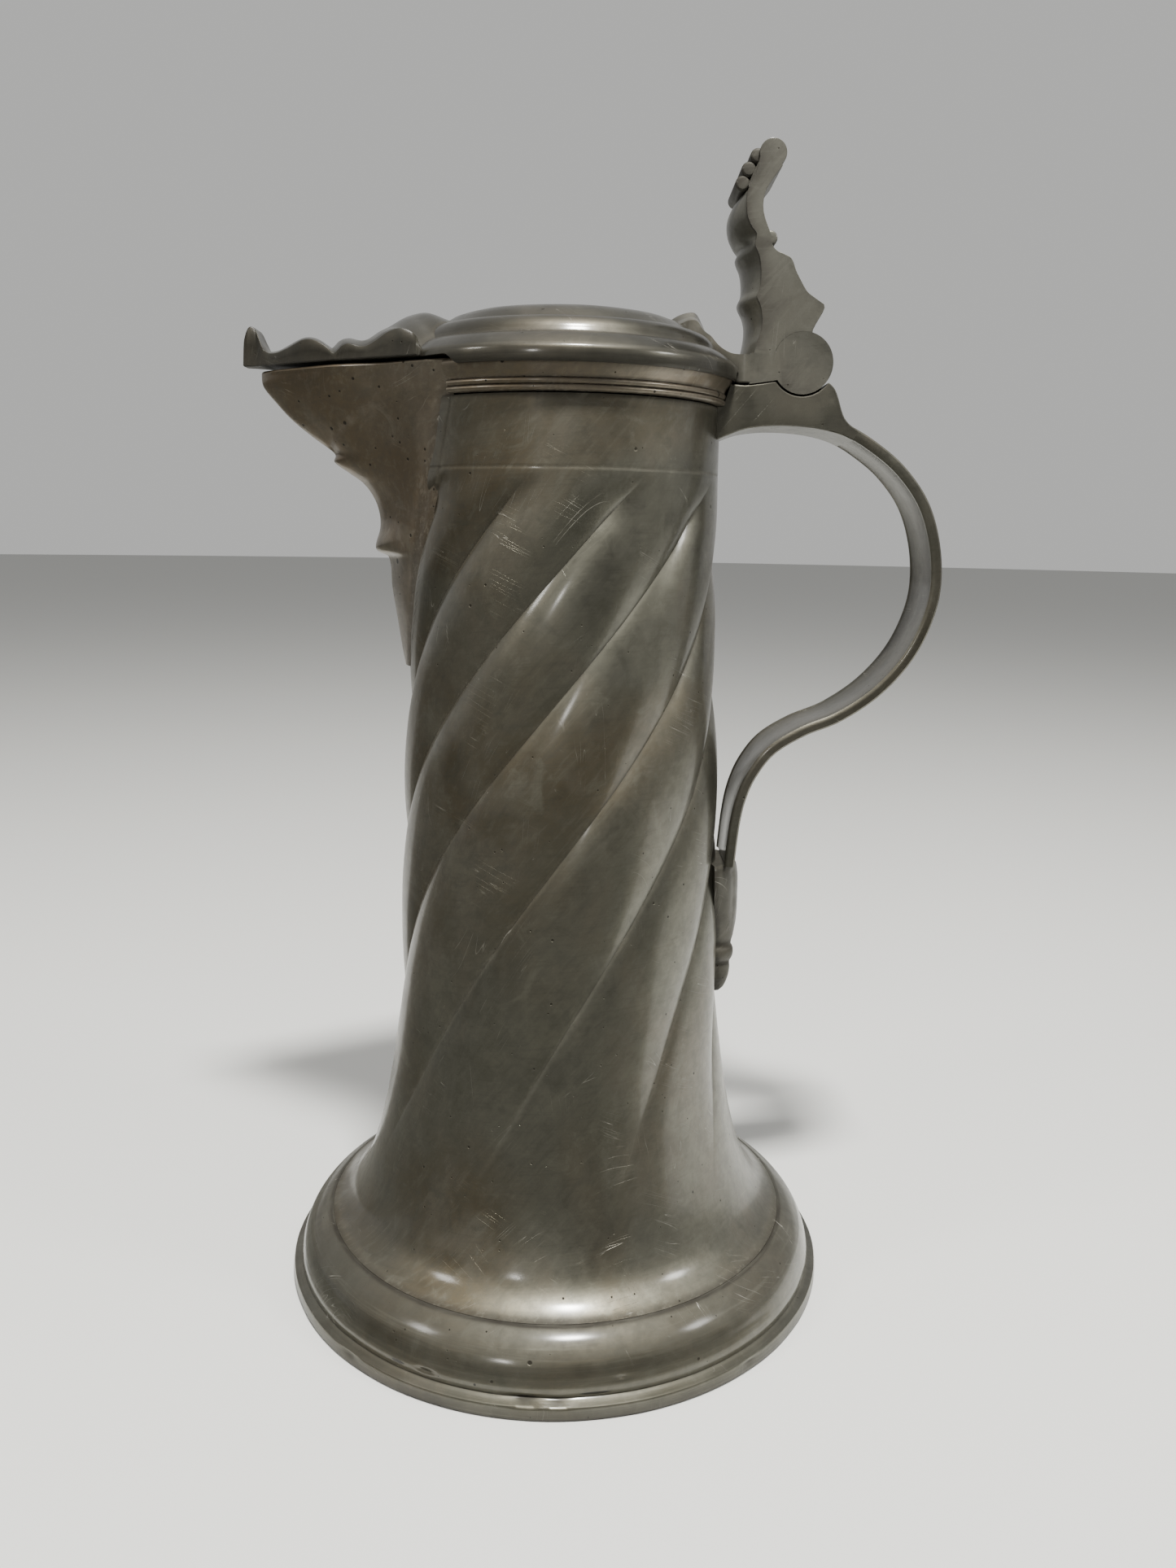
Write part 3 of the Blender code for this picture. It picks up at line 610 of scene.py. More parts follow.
def pewter_looks(n, colour, patina, tarnish=0.5, brush="strokes", roughness=0.42, pits=1,
                 grain=1, shine=1, gouges=(), pitted=None):
    """Aged pewter: mottled grey-green, a warm patina, fine brushing, pits, scratches, and dirt with
    painted shade.
    """
    where = n.add("TexCoord", output="Object")
    broad = n.noise(where, 14, 3, 0.5, 0.6)
    cloud = n.noise(n.stretch(where, (1, 1, 0.55), shift=(3, 1, 2)), 34, 4, 0.6, 0.4)
    fine = n.noise(where, 260, 5, 0.65)
    strokes = brushing(n, where, brush)
    cross = n.noise(n.stretch(where, (110, 110, 1500), (0.05, 0.1, 0)), 1, 3, 0.6)
    threads = scratches(n, where)
    specks = pitting(n, where, pits, gouges, pitted)

    # browner towards the spout; the mesh stores dirt and painted shade, in creases and under
    # overhangs, which darken the tone and dull the metal
    spout_side = n.ramp(n.split(where)[0], 0.035, -0.085)
    brown = n.ramp(n.plus(broad, n.times(spout_side, 0.2)), 0.46, 0.7)
    darkening = n.add("Attribute", output="Fac", attribute_name="dirt_and_shade")
    dirt_and_shade_share = n.times(darkening, n.ramp(cloud, 0.25, 0.75, 0.75, 1))

    tone = mottled(n, where, cloud, fine, n.times(brown, tarnish), colour, patina)
    dark, pale = shade(colour, 0.6), shade(colour, 1.35)
    tone = n.layered(tone, (
        (dirt_and_shade_share, DIRT_AND_SHADE_TONE),
        (n.ramp(strokes, 0.5, 0.7, 0, 0.28 * grain), dark),
        (n.ramp(strokes, 0.48, 0.32, 0, 0.22 * grain), pale),
        (n.ramp(cross, 0.5, 0.7, 0, 0.22), dark),
        (n.times(threads, 0.45), SCRATCH_TONE),
        (n.times(specks, 0.85), PIT_TONE)))

    rough = n.plus(n.ramp(cloud, 0.3, 0.7, roughness - 0.05, roughness + 0.07),
                   n.ramp(fine, 0.3, 0.7, -0.03, 0.04))
    rough = n.plus(rough, n.times(brown, 0.05 * tarnish))
    rough = n.plus(rough, n.times(n.plus(dirt_and_shade_share, specks), 0.3), True)
    # handling has polished the high spots: a thin sharper gloss over the dull metal
    gloss = n.times(n.minus(1, dirt_and_shade_share, True),
                    n.ramp(cloud, 0.35, 0.65, 0.45 * shine, 0.75 * shine))

    height = n.times(strokes, 0.55)
    height = n.plus(height, n.times(cross, 0.45))
    height = n.plus(height, n.times(fine, 0.9))
    height = n.minus(height, n.times(threads, 1.6))
    height = n.minus(height, n.times(specks, 7))
    relief = n.add("Bump", {"Height": height, "Strength": 0.55, "Distance": BUMP_DEPTH})

    return {"Base Color": tone, "Metallic": n.minus(1, n.times(dirt_and_shade_share, 0.55)),
            "Roughness": rough, "Coat Weight": gloss, "Coat Roughness": COAT_ROUGHNESS,
            "Normal": relief}


# ---- drum
def twist(z):
    """How far the valleys have turned at a height, in degrees."""
    u = (min(max(z, 30), LOBE_TOP) - TWIST_HEIGHT) / 100
    return 100.07 * u + 21.67 * u * u - 2.72 * u ** 3


def lobe_depth(z):
    top = ramp(LOBE_TOP, LOBE_TOP - 13, z)
    return LOBE_DEPTH * top * ramp(34, 92, z)


def drum_radius(z):
    return curve_at(DRUM_OUTLINE, z)


def drum_columns():
    """(lobe, share across it) for each column, closer together at the valleys."""
    shares = [k / LOBE_COLUMNS for k in range(LOBE_COLUMNS)]
    return [(lobe, t - 0.1 * sin(2 * pi * t)) for lobe in range(len(VALLEYS)) for t in shares]


def drum_point(z, lobe, t, inward=0):
    start, end = VALLEYS[lobe], [*VALLEYS[1:], VALLEYS[0] + 360][lobe]
    a = radians(start + (end - start) * t + twist(z))
    across = 2 * t - 1
    radius = drum_radius(z) - lobe_depth(z) * (0.55 * across ** 2 + 0.45 * abs(across) ** 3.5)
    radius -= 0.07 * bump(z, NECK_LINE, 0.28)
    x, y = radius * cos(a), radius * sin(a)
    dents = 0.16 * waver(x, y, z, 23) + 0.05 * waver(x, y, z, 8, 3)
    radius += min(dents * ramp(30, 70, z), 0.12) - inward
    return radius * cos(a), radius * sin(a), z


def drum_heights():
    """Rows close together in the flare, where it curves most, and round the scribed line."""
    flare_top, neck_low, neck_high = 60, 229, 235.3
    heights = [DRUM_BOTTOM + (flare_top - DRUM_BOTTOM) * (i / 34) ** 1.5 for i in range(35)]
    heights += spread(flare_top, neck_low, 118) + spread(neck_low, neck_high, 21)
    return heights + spread(neck_high, DRUM_TOP + 0.05, 8)


def build_drum():
    heights, columns = drum_heights(), drum_columns()
    outer = [[drum_point(z, *column) for column in columns] for z in heights]
    inner_heights = [z for z in heights[::3] if z < DRUM_TOP - 1] + [heights[-1]]
    inner = [[drum_point(z, *column, inward=WALL) for column in columns] for z in inner_heights]
    return cut(skin(outer + inner[::-1], loop=True), channel_mesh())


def drum_dirt_and_shade(x, y, z):
    """Dirt and painted shade: darker along the valleys, in the scribed line, at the foot seam and
    beside the spout, and painted shade under the collar.
    """
    value = 0.9 * ramp(247.6, 249.4, z) + 0.75 * ramp(20.6, 19.1, z)
    value += 0.55 * bump(z, NECK_LINE, 0.35)
    angle = angle_of(x, y)
    nearest = min(abs(angle_off(angle - twist(z), valley)) for valley in VALLEYS)
    value += 0.5 * bump(nearest, 0, 0.9) * lobe_depth(z) / LOBE_DEPTH
    if z > SPOUT_BOTTOM - 0.5 and x < 0:
        root = 180 - curve_at(SPOUT_ROOT, z)
        value += 0.8 * bump(abs(angle), root, 0.9)
    return value


# ---- foot and floor
# (angle in degrees, height, size, depth) of old knocks in the foot
FOOT_NICKS = (
    (246, 7, 1.6, 0.5), (266, 4.6, 2.6, 0.6), (272, 4.4, 2, 0.5), (284, 9, 1.4, 0.3),
    (228, 3.2, 2.2, 0.4), (312, 3, 1.8, 0.35), (340, 6, 1.5, 0.3), (60, 5, 2.2, 0.4),
    (130, 4, 2, 0.4))
NICK_FLATNESS = 3.2               # a degree along the rim against a millimetre up it
# (distance from the axis, height) over the bowl, then round the rim and the hollow underside
FOOT_BOWL = (
    (67.55, 18.98), (69.3, 18.05), (71.2, 16.7), (73.2, 14.75), (74.9, 12.35), (76.05, 9.7),
    (76.7, 7.3), (76.75, 5.7))
FOOT_RIM = (
    (76.75, 5.2), (76.5, 4.95), (76.75, 4.75), (77.5, 4.3), (78.6, 4.1), (79.1, 3.9),
    (FOOT_RADIUS - 0.08, 3.5), (FOOT_RADIUS, 3), (FOOT_RADIUS, 1), (79.25, 0.45), (78.9, 0.05),
    (78.4, 0), (75, 0), (74.5, 0.1), (74.1, 0.5), (73.9, 1.2), (73.9, 7.6), (73.3, 9.6),
    (71.6, 12.6), (69.6, 15), (66.4, 17.2), (66.4, 18.4))


def nick_at(nick, angle, z, reach=1):
    """How deep a knock is at a place on the foot."""
    at, height, size, depth = nick
    off = hypot(angle_off(angle, at), (z - height) * NICK_FLATNESS)
    return depth * bump(off, 0, size * reach)


def build_foot():
    def knocks(r, turn, z):
        """Small dents, a hand-finished unevenness and a faint line round the outside."""
        x, y = r * cos(radians(turn)), r * sin(radians(turn))
        if z > 0.3 and r > 74.2:
            r -= 0.14 * max(waver(x, y, z, 14, 5), 0)
            r -= 0.05 * bump(z, 9, 0.22)
            for nick in FOOT_NICKS:
                r -= nick_at(nick, turn, z)
        return r, z

    return turned([*smooth_path(FOOT_BOWL, 6), *FOOT_RIM], 540, shape=knocks)


def foot_dirt_and_shade(x, y, z):
    """Dirt and painted shade: darker at the seam, in the rim's lines, in the knocks and underneath,
    with painted contact shadow near the table and on the rim's side.
    """
    radius = hypot(x, y)
    value = creases(z, (4.9, 0.35, 0.5), (9, 0.3, 0.15))
    value += 0.85 * bump(z, 18.9, 0.35) * (radius > 67)
    value += 0.55 * ramp(1.4, 0, z) + 0.6 * ramp(3.4, 2.8, z) * (radius > 78)
    value += sum(1.6 * nick_at(nick, angle_of(x, y), z, 0.8) for nick in FOOT_NICKS)
    return value + 0.5 * (radius < 74.3)


def build_floor_disc():
    top, low = FLOOR_HIGH.z, FLOOR_LOW.z
    outline = [(0, top), (20, top), (50, top), (54.9, top), (55.4, top - 0.3), (56.6, low),
               (40, low), (0, low)]
    return turned(outline, 180)


# ---- spout
def spout_section(z, inset=0, reach=0, steps=26):
    """One level of the beak, from its root at +y round the keel to -y. An inset section is the
    hollow's, and reach carries it on into the drum."""
    level = min(z, COLLAR_TOP)
    seam = radians(curve_at(SPOUT_ROOT, level))
    stepped = curve_at(SPOUT_KEEL, level)
    smooth = curve_at(SMOOTH_KEEL, level)
    if level < DRUM_TOP:
        radius = drum_radius(level) - 1.1
    else:
        radius = line_at(((DRUM_TOP, 40.5), (COLLAR_TOP, 43.9)), level)
    root_x = -radius * cos(seam)
    root_y = max(radius * sin(seam) - inset, 0.5)
    tip = inset - smooth
    length = abs(tip - root_x)
    points = []
    for i in range(steps + 1):
        share = 1 - (1 - i / steps) ** 1.7
        from_keel = (1 - share) * length
        x = root_x + (tip - root_x) * share - (stepped - smooth) * bump(from_keel, 0, 5.2)
        y = root_y * (1 - share) ** 0.8
        if not inset:
            y += spout_relief(from_keel, level) * min(y / 1.5, 1)
            y += 0.75 * bump(share * length, 1.2, 1.1)
        points.append((x, y, z))
    half = [(root_x + reach, root_y + 0.12 * reach, z), *points] if reach else points
    return half + [(px, -py, pz) for px, py, pz in reversed(half[:-1])]


# folds across the beak's flank: (height at the keel, rise for each mm behind it, half width,
# depth, and how far behind the keel it is nothing and where it is full)
SPOUT_FOLDS = (
    (237, 0.85, 0.9, -0.75, 9.5, 3), (234.1, 0.85, 1.9, 0.55, 9.5, 3), (212, 0.55, 2.2, 0.7, 7, 2),
    (208.4, 0.55, 1.6, -0.5, 6, 1.5), (235, 1.05, 7, 0.9, 2, 9), (220, 1.05, 7.5, -1, 1, 6))


def spout_relief(from_keel, z):
    """Hand-cut shaping: a crease and a ridge at each step, and one broad fold."""
    return sum(depth * bump(z, height + rise * from_keel, width) * ramp(none, full, from_keel)
               for height, rise, width, depth, none, full in SPOUT_FOLDS)


def spout_levels():
    """Levels from the beak's lowest point to its rim, closest together at the keel's steps."""
    steps_low, steps_high, rim = 206, 242, 257
    return [SPOUT_BOTTOM, *spread(SPOUT_BOTTOM, steps_low, 22),
            *spread(steps_low, steps_high, 90), *spread(steps_high, rim, 20)]


def channel_mesh():
    """The beak's hollow, reaching through the drum's wall."""
    low = SPOUT_FLOOR + 2
    levels = [SPOUT_FLOOR, SPOUT_FLOOR + 0.6, SPOUT_FLOOR + 1.2, low, *spread(low, COLLAR_TOP, 20)]
    rings = [spout_section(z, WALL, 14, 16) for z in [*levels, COLLAR_TOP + 6]]
    return skin(rings)


def build_spout():
    rings = [spout_section(z) for z in spout_levels()]
    rim = spout_section(COLLAR_TOP)
    for drop, narrow in ((0.5, 0.06), (0.2, 0.25), (0, 0.6)):      # the rim's rounded edge
        rings.append([(x + narrow * (0.4 if abs(y) > 4 else 1), y * (1 - 0.012 * narrow),
                       COLLAR_TOP - drop) for x, y, _ in rim])
    inside = turned([(0, 170), (39, 170), (39, 270), (0, 270)], 96)
    return cut(skin(rings), channel_mesh(), inside)


def spout_dirt_and_shade(x, y, z):
    """Dirt and painted shade: darker at the root and in the keel's two steps, and painted shade
    under the lid.
    """
    drum = drum_radius(min(z, 249))
    value = 0.75 * ramp(drum + 1.4, drum + 0.2, hypot(x, y))
    step_height = 237.6 + 0.6 * max(64 - abs(x) + abs(y) * 0.25, 0)
    value += 0.6 * bump(z, step_height, 0.9) * ramp(53, 58, abs(x))
    value += 0.45 * bump(z, 208.9, 1) * ramp(46, 48.5, abs(x))
    return value + 0.25 * ramp(246, 257, z) * ramp(60, 45, abs(x))


# ---- collar
def build_collar():
    """A cavetto with a flat rim over two half-round reeds, open where the beak passes through."""
    inner, rim, lip, fall = (39.45, COLLAR_TOP), (43.9, COLLAR_TOP), (44.85, 256.6), (44.75, 255.6)
    outline = [inner, *rounded(inner, rim, lip, 0.5), *rounded(rim, lip, fall, 0.4), fall,
               (44.1, 254.4), (43.45, 253.4), (43.05, 252.7)]
    for middle, half in ((251.9, 0.75), (250.4, 0.72)):
        outline += arc((42.75, middle), half, 80, -80, 10)
        outline.append((42.7, middle - half - 0.02))
    outline += [(42.3, 249.62), (39.45, 249.62)]
    return turned(outline, 400, angles=(-131, 131))


def collar_dirt_and_shade(x, y, z):
    # dirt and painted shade in the reeds' lines, and painted shade under the lid's overhang, darker
    # towards the top
    reeds = creases(z, (252.75, 0.22, 0.85), (251.15, 0.2, 0.85), (249.6, 0.3, 0.9))
    return reeds + 0.4 * ramp(255, 257.5, z)


# ---- handle
# (x, z) along the middle of the strap, then round the block's underside and its horn
STRAP_ROUTE = (
    (72, 245.2), (73.6, 244.4), (80.6, 240.5), (88.6, 234.4), (95.4, 225.8), (99.2, 215.4),
    (100.4, 204.4), (98.7, 194.6), (94, 184.4), (86.2, 175.2), (76.4, 168.2), (66.6, 163.9),
    (58.4, 158.6), (53.3, 151.8), (50.4, 144.6), (48.9, 136.6), (47.9, 125))
BLOCK_UNDER = (
    (38, 240.3), (43, 242.4), (47.5, 244), (53.2, 244.8), (59.6, 244.9), (66.6, 244.3),
    (72.4, 243), (76.2, 241.4))
BLOCK_HORN = (
    (77.3, 243.9), (74.8, 245.5), (73.2, 247.3), (72.2, 249.6), (71.4, 252), (70.3, 254.4))
# (height over the strap's middle, distance in from its edge) round a beaded edge
STRAP_BEAD = (
    (0.55, 2.3), (1.2, 1.9), (1.45, 1.2), (1.45, 0.5), (1, 0.08), (0.3, 0), (-0.35, 0),
    (-0.95, 0.1), (-1.4, 0.45), (-1.45, 1.1), (-1.15, 1.6), (-1, 2.2))


def build_strap():
    bead = [(u, HANDLE_HALF - inward) for u, inward in STRAP_BEAD]
    crown = [(0.75, -HANDLE_HALF * 0.5), (0.85, 0), (0.75, HANDLE_HALF * 0.5)]
    section = [*bead, (-1, 0), *[(u, -w) for u, w in reversed(bead)], *crown]
    line = smooth_path(STRAP_ROUTE, 12)
    rings = []
    for i, (x, z) in enumerate(line):
        step = Vector(line[min(i + 1, len(line) - 1)]) - Vector(line[max(i - 1, 0)])
        step.normalize()
        rings.append([(x - step.y * u, w, z + step.x * u) for u, w in section])
    return skin(rings)


def build_handle():
    """Strap with a beaded near and far edge, the upper block and the middle knuckle."""
    seat = arc(HINGE, SEAT_RADIUS, 214, 326, 36)
    top = LID_RIM_BOTTOM - GAP
    horn = smooth_path([*BLOCK_HORN, seat[-1]], 5)
    outline = [*reversed(seat), (52, top + 0.25), (47, top - 0.4), (41, top), (38, top),
               *smooth_path(BLOCK_UNDER, 5), *horn[:-1]]
    block = bevelled(slab(outline, HANDLE_HALF), 0.3, 1)
    neck = slab([(57.5, 247), (67, 247), (68.5, 260.8), (56.5, 260.8)], KNUCKLE_HALF)
    knuckle = rod(KNUCKLE_RADIUS, KNUCKLE_HALF, HINGE, 64, 0.3)
    handle = join(block, build_strap(), neck, knuckle)
    bore = rod(PIN_RADIUS + GAP, HANDLE_HALF * 2, HINGE)
    trim = turned([(0, 60), (40.9, 60), (40.9, 249.5), (43, 249.5), (45.2, 256.5),
                           (45.2, 262), (0, 262)], 180)
    return cut(handle, bore, trim)


def handle_dirt_and_shade(x, y, z):
    """Dirt and painted shade: darker in the knuckle's seat, at the drum and along the beads, and
    painted shade on the block's top under the lid.
    """
    from_seat = hypot(x - HINGE[0], z - HINGE[1]) - SEAT_RADIUS
    value = 0.9 * bump(from_seat, 0, 0.5) + 0.5 * ramp(43.6, 42, hypot(x, y))
    value += 0.55 * bump(abs(y), HANDLE_HALF - 2, 0.35) * ramp(244, 238, z)
    return value + 0.5 * ramp(254.6, 255.4, z) * ramp(55, 50, x)


# (height, half width, how far the crest stands from the drum's axis) down the leaf
LEAF = (
    (124.7, 10.4, 50.2), (123.8, 11.2, 51), (122, 11.5, 51.5), (119, 11.4, 51.9), (114, 10.7, 52),
    (109, 9.4, 52), (105, 8, 51.8), (102, 6.6, 51.6), (100.2, 5.6, 51.2), (98.8, 5.3, 51.1),
    (97.6, 5.9, 51.7), (96.2, 6.1, 51.8), (94.8, 5.5, 51.5), (93.6, 4.6, 50.9), (91.5, 4.6, 51),
    (89, 4.2, 50.7), (86.6, 3, 50), (85, 2, 49.2), (83.95, 0.9, 48.1))


def build_leaf():
    """The leaf that ties the strap to the drum: a middle rib and two veins over a rounded boss."""
    rings = []
    for z in [LEAF_HIGH.z, *spread(LEAF_HIGH.z, LEAF_LOW.z, 120)]:
        half = curve_at([(h, w) for h, w, _ in LEAF], z)
        crest = curve_at([(h, c) for h, _, c in LEAF], z)
        base = drum_radius(z) - 1.6
        ring = []
        for k in range(33):
            y = half * sin(radians(-90 + 180 * k / 32))
            share = abs(y) / half
            rib = 0.5 * (1 - ramp(0, 0.22, share)) * ramp(100, 106, z)
            vein = -0.55 * bump(share, 0.55, 0.13) * ramp(101, 112, z)
            rise = (crest - 0.5 - base) * (1 - share ** 3.2) + base
            x = rise + rib + vein * ramp(124.4, 122, z)
            ring.append((min(x, crest), y, z))
        ring += [(base, half, z), (base - 2, 0, z), (base, -half, z)]
        rings.append(ring)
    return skin(rings)


def leaf_dirt_and_shade(x, y, z):
    # dirt and painted shade: darker at the drum and in two lines across the leaf, and darkened all
    # over, more in patches, as painted shade
    value = 0.8 * ramp(drum_radius(z) + 1.1, drum_radius(z), hypot(x, y))
    value += creases(z, (99, 0.9, 0.7), (93.4, 0.8, 0.6))
    return value + 0.6 + 0.35 * max(waver(x, y, z, 5, 7), 0)


def build_pin():
    return rod(PIN_RADIUS, PIN_END, HINGE, 48, 0.4)


# ---- lid
# (distance from the axis, height) over the lid's steps, then under it
LID_TOP = (
    (0, 272.4), (4, 272.4), (10, 272.3), (17, 272.1), (22, 271.9), (26, 271.5), (28.6, 271),
    (30.8, 270.2), (32.4, 269.2), (33.5, 268.3), (34.3, 267.75), (34.8, 267.35), (35.3, 267.2),
    (35.9, 267.35), (36.6, 267.3), (37.5, 266.9), (38.5, 266.2), (39.3, 265.3), (39.9, 264.3),
    (40.2, 263.5), (40.5, 263.15), (40.9, 263.1), (41.5, 262.85), (42.4, 262.4), (43.6, 261.55),
    (44.6, 260.75), (45.4, 260.1), (45.75, 259.75), (46, 259.45), (46.2, 259.1), (46.35, 258.6),
    (46.4, 257.6), (46.4, 256.6), (46.32, 256), (46.1, 255.65), (45.8, 255.6))
LID_INSIDE = (
    (45.45, 255.7), (45.4, 256.4), (45.4, LID_UNDER), (43, LID_UNDER), (40, LID_UNDER),
    (37.6, 261.6), (34, 264.4), (29, 267.6), (20, 269.2), (0, 269.8))


def build_lid():
    def trim(r, turn, z):
        """No rim lip where the beak and the handle's block are, and an uneven crown."""
        x, y = r * cos(radians(turn)), r * sin(radians(turn))
        heel = x > 41 and abs(y) < HANDLE_HALF + 1.5
        lowest = LID_UNDER - (LID_UNDER - LID_RIM_BOTTOM) * ramp(-28.7, -25, x)
        z = max(z, LID_UNDER if heel else lowest)
        if z > 262 and 8 < r < 34:
            z += 0.1 * waver(x, y, 0, 12, 9)
        return r, z

    return turned([*LID_TOP, *LID_INSIDE], 420, shape=trim)


def lid_dirt_and_shade(x, y, z):
    """Dirt and painted shade: darker in the lid's two steps, at its rim and beside the arm, and
    painted shade along its lower edge.
    """
    radius = hypot(x, y)
    value = creases(radius, (35.2, 0.45, 0.75), (40.6, 0.45, 0.6))
    value += 0.45 * bump(radius, 45.9, 0.25) * (1 if z > 259 else 0.3)
    value += 0.5 * ramp(257, 255.6, z)
    beside_arm = ramp(HANDLE_HALF + 0.8, HANDLE_HALF - 1, abs(y))
    return value + 0.5 * beside_arm * ramp(40, 45, x)


def lid_top_at(radius):
    return line_at(LID_TOP[:-3], radius) if radius < LID_RADIUS else 256


# The cover's top is a wave that runs round the lid's axis: (distance from it, height) along the
# middle of the tongue, then along its two edges.
COVER_CREST = (
    (86.3, 259.6), (86.1, 264.2), (85.3, 267.3), (84, 268.4), (82.6, 267.6), (81, 264.2),
    (79.6, 262.6), (78.6, 262.2), (77.2, 262.3), (75.5, 262.8), (73, 264), (70.7, 265),
    (69, 265.5), (67.5, 265.6), (65.8, 265.3), (64.3, 264.6), (62.6, 263.3), (61.9, 262.8),
    (61.2, 263.3), (59.9, 264.5), (58.6, 265.1), (56.9, 265.4), (55.2, 265), (53.5, 264.4),
    (52.2, 264.6), (50.6, 265.6), (47, 268.3), (44.8, 269.9), (42.7, 271.1), (40.3, 272),
    (38, 272.4), (36, 272.1), (34, 271.2), (32, 269.8), (30, 268.8), (24, 267.6))
COVER_EDGE = (
    (86.3, 259), (86, 263.6), (85.6, 265.6), (84.6, 267.8), (83.6, 268.2), (82.4, 267.4),
    (81.2, 264.6), (80.3, 262.5), (79, 261.3), (77.5, 261), (75.6, 261.1), (72.6, 262.1),
    (69.5, 263.5), (67.9, 263.8), (66.5, 263.6), (64.5, 262.7), (62.8, 261.4), (61.9, 260.3),
    (61.4, 260), (60.8, 260.5), (59.8, 261.5), (58.6, 262), (57.4, 261.7), (56.2, 261.2),
    (54.8, 261.2), (53.1, 262.4), (51.4, 264), (50, 264.7), (48.9, 264.4), (48, 263.2),
    (47.2, 261.7), (46.4, 260.3), (45, 259.2), (42, 260.8), (40, 261.6), (37, 265), (34, 266),
    (30, 267.6), (24, 266.6))
# (distance towards the point, half width) of the tongue seen from above
COVER_HALF = (
    (86.3, 2), (85, 2.5), (84, 2.8), (82, 3.8), (79, 5.9), (75, 8.8), (70, 12.2), (60, 18),
    (50, 23.6), (40, 29.2), (30, 35.2), (24, 38))
COVER_UNDER = LID_UNDER + 0.2
COVER_SPREAD = 41.2               # widest angle that the tongue takes round the lid
# (distance from the axis, height) of the lid's skin, which the cover is cut to sit on
COVER_SEAT = (
    (0, 290), (24, 290), (24, 272), (33, 268.2), (34.4, 267), (37.2, 266), (39.4, 264),
    (40.2, 262.4), (44, 260.2), (45.6, 259), (45.8, 250), (0, 250))


def cover_half_at(distance):
    """Half width of the tongue where it crosses a circle round the lid's axis."""
    widest = distance * sin(radians(COVER_SPREAD))
    half = min(curve_at(COVER_HALF, distance), widest)
    for _ in range(12):
        half = min(0.5 * (half + curve_at(COVER_HALF, sqrt(distance ** 2 - half ** 2))), widest)
    return half


def build_cover():
    """The tongue over the beak: upturned point, wavy top, and a roll that arches over the lid."""
    rings = []
    columns = 24
    point = [86.3 - 0.12 * i for i in range(42)]
    for distance in point + [81.26 - 0.26 * i for i in range(1, 203)]:
        half = cover_half_at(distance)
        crest, edge = curve_at(COVER_CREST, distance), curve_at(COVER_EDGE, distance)
        top = []
        for k in range(2 * columns + 1):
            share = 1 - k / columns
            share = share * (1.25 - 0.25 * abs(share))
            y = half * share
            z = edge + (crest - edge) * (1 - abs(share) ** 2.3)
            z += 0.06 * waver(distance, y, z, 5, 4)
            top.append((-sqrt(distance ** 2 - y ** 2), y, z))
        x, _, z = top[0]
        left = [(x + 0.25, half - 0.25, COVER_UNDER), (x, half, COVER_UNDER + 0.25),
                (x, half, (COVER_UNDER + z) / 2), (x, half, z - 0.22), (x, half - 0.06, z - 0.06)]
        right = [(px, -py, pz) for px, py, pz in reversed(left)]
        top[0], top[-1] = (x, half - 0.22, z), (x, 0.22 - half, z)
        rings.append(left + top + right)
    return cut(skin(rings), turned(COVER_SEAT, 200))


def cover_dirt_and_shade(x, y, z):
    """Dirt and painted shade: darker where the cover meets the lid, in its wave's hollows and along
    its underside.
    """
    radius = hypot(x, y)
    value = creases(radius, (61.6, 0.5, 0.55), (54, 1.2, 0.25), (80, 1.2, 0.3))
    value += 0.7 * ramp(0.9, 0, z - lid_top_at(radius)) * (radius < LID_RADIUS)
    return value + 0.75 * ramp(COVER_UNDER + 0.6, COVER_UNDER, z)


# (x, height) along the arm's crest, and (x, half width) of it seen from above
ARM_TOP = (
    (24, 268), (26.5, 271.2), (28.6, 272.9), (31, 274), (33.2, 274.4), (34.3, 274.1), (35.2, 273),
    (36, 271.5), (37.1, 269.5), (38.4, 267.5), (40, 265.6), (41.6, 264.3), (43.2, 263.4),
    (45, 263), (47, 262.9), (50, 262.9))
ARM_HALF = (
    (24, 1.2), (26, 3.4), (28, 5.4), (30, 7.2), (31.6, 8.4), (32.6, 8.6), (34, 8), (35.5, 7.3),
    (37, 7), (38.5, 7.2), (41, 8.5), (43.5, 10.2), (45.5, 11.3), (47, HANDLE_HALF),
    (50, HANDLE_HALF))
# (distance from the axis, height) of the lid's skin, which the arm is cut to sit on
ARM_SEAT = (
    (0, 271.9), (25.6, 271), (30.4, 269.7), (33.2, 267.9), (34.8, 266.8), (37.2, 266.3),
    (39, 264.9), (39.9, 263), (42, 262), (45, 259.8), (45.9, 258.6), (45.9, 250), (0, 250))


def build_arm_leaf():
    rings = []
    for x in [ARM_TOP[0][0], *spread(ARM_TOP[0][0], ARM_TOP[-1][0], 110)]:
        half, top = curve_at(ARM_HALF, x), curve_at(ARM_TOP, x)
        under = LID_RIM_BOTTOM if x > 41.5 else 258.6
        leafy = ramp(38.5, 35, x)
        ring = []
        for k in range(33):
            share = -1 + 2 * k / 32
            fall = (2.3 * leafy + 0.35) * abs(share) ** 1.3
            ridge = 0.6 * leafy * bump(share, 0, 0.14)
            flute = 0.45 * leafy * bump(abs(share), 0.42, 0.16)
            ring.append((x, half * share, top - fall + ridge - flute - 0.5 * leafy))
        rings.append(ring + [(x, half, under + 0.3), (x, half - 0.3, under),
                             (x, 0.3 - half, under), (x, -half, under + 0.3)])
    return skin(rings)


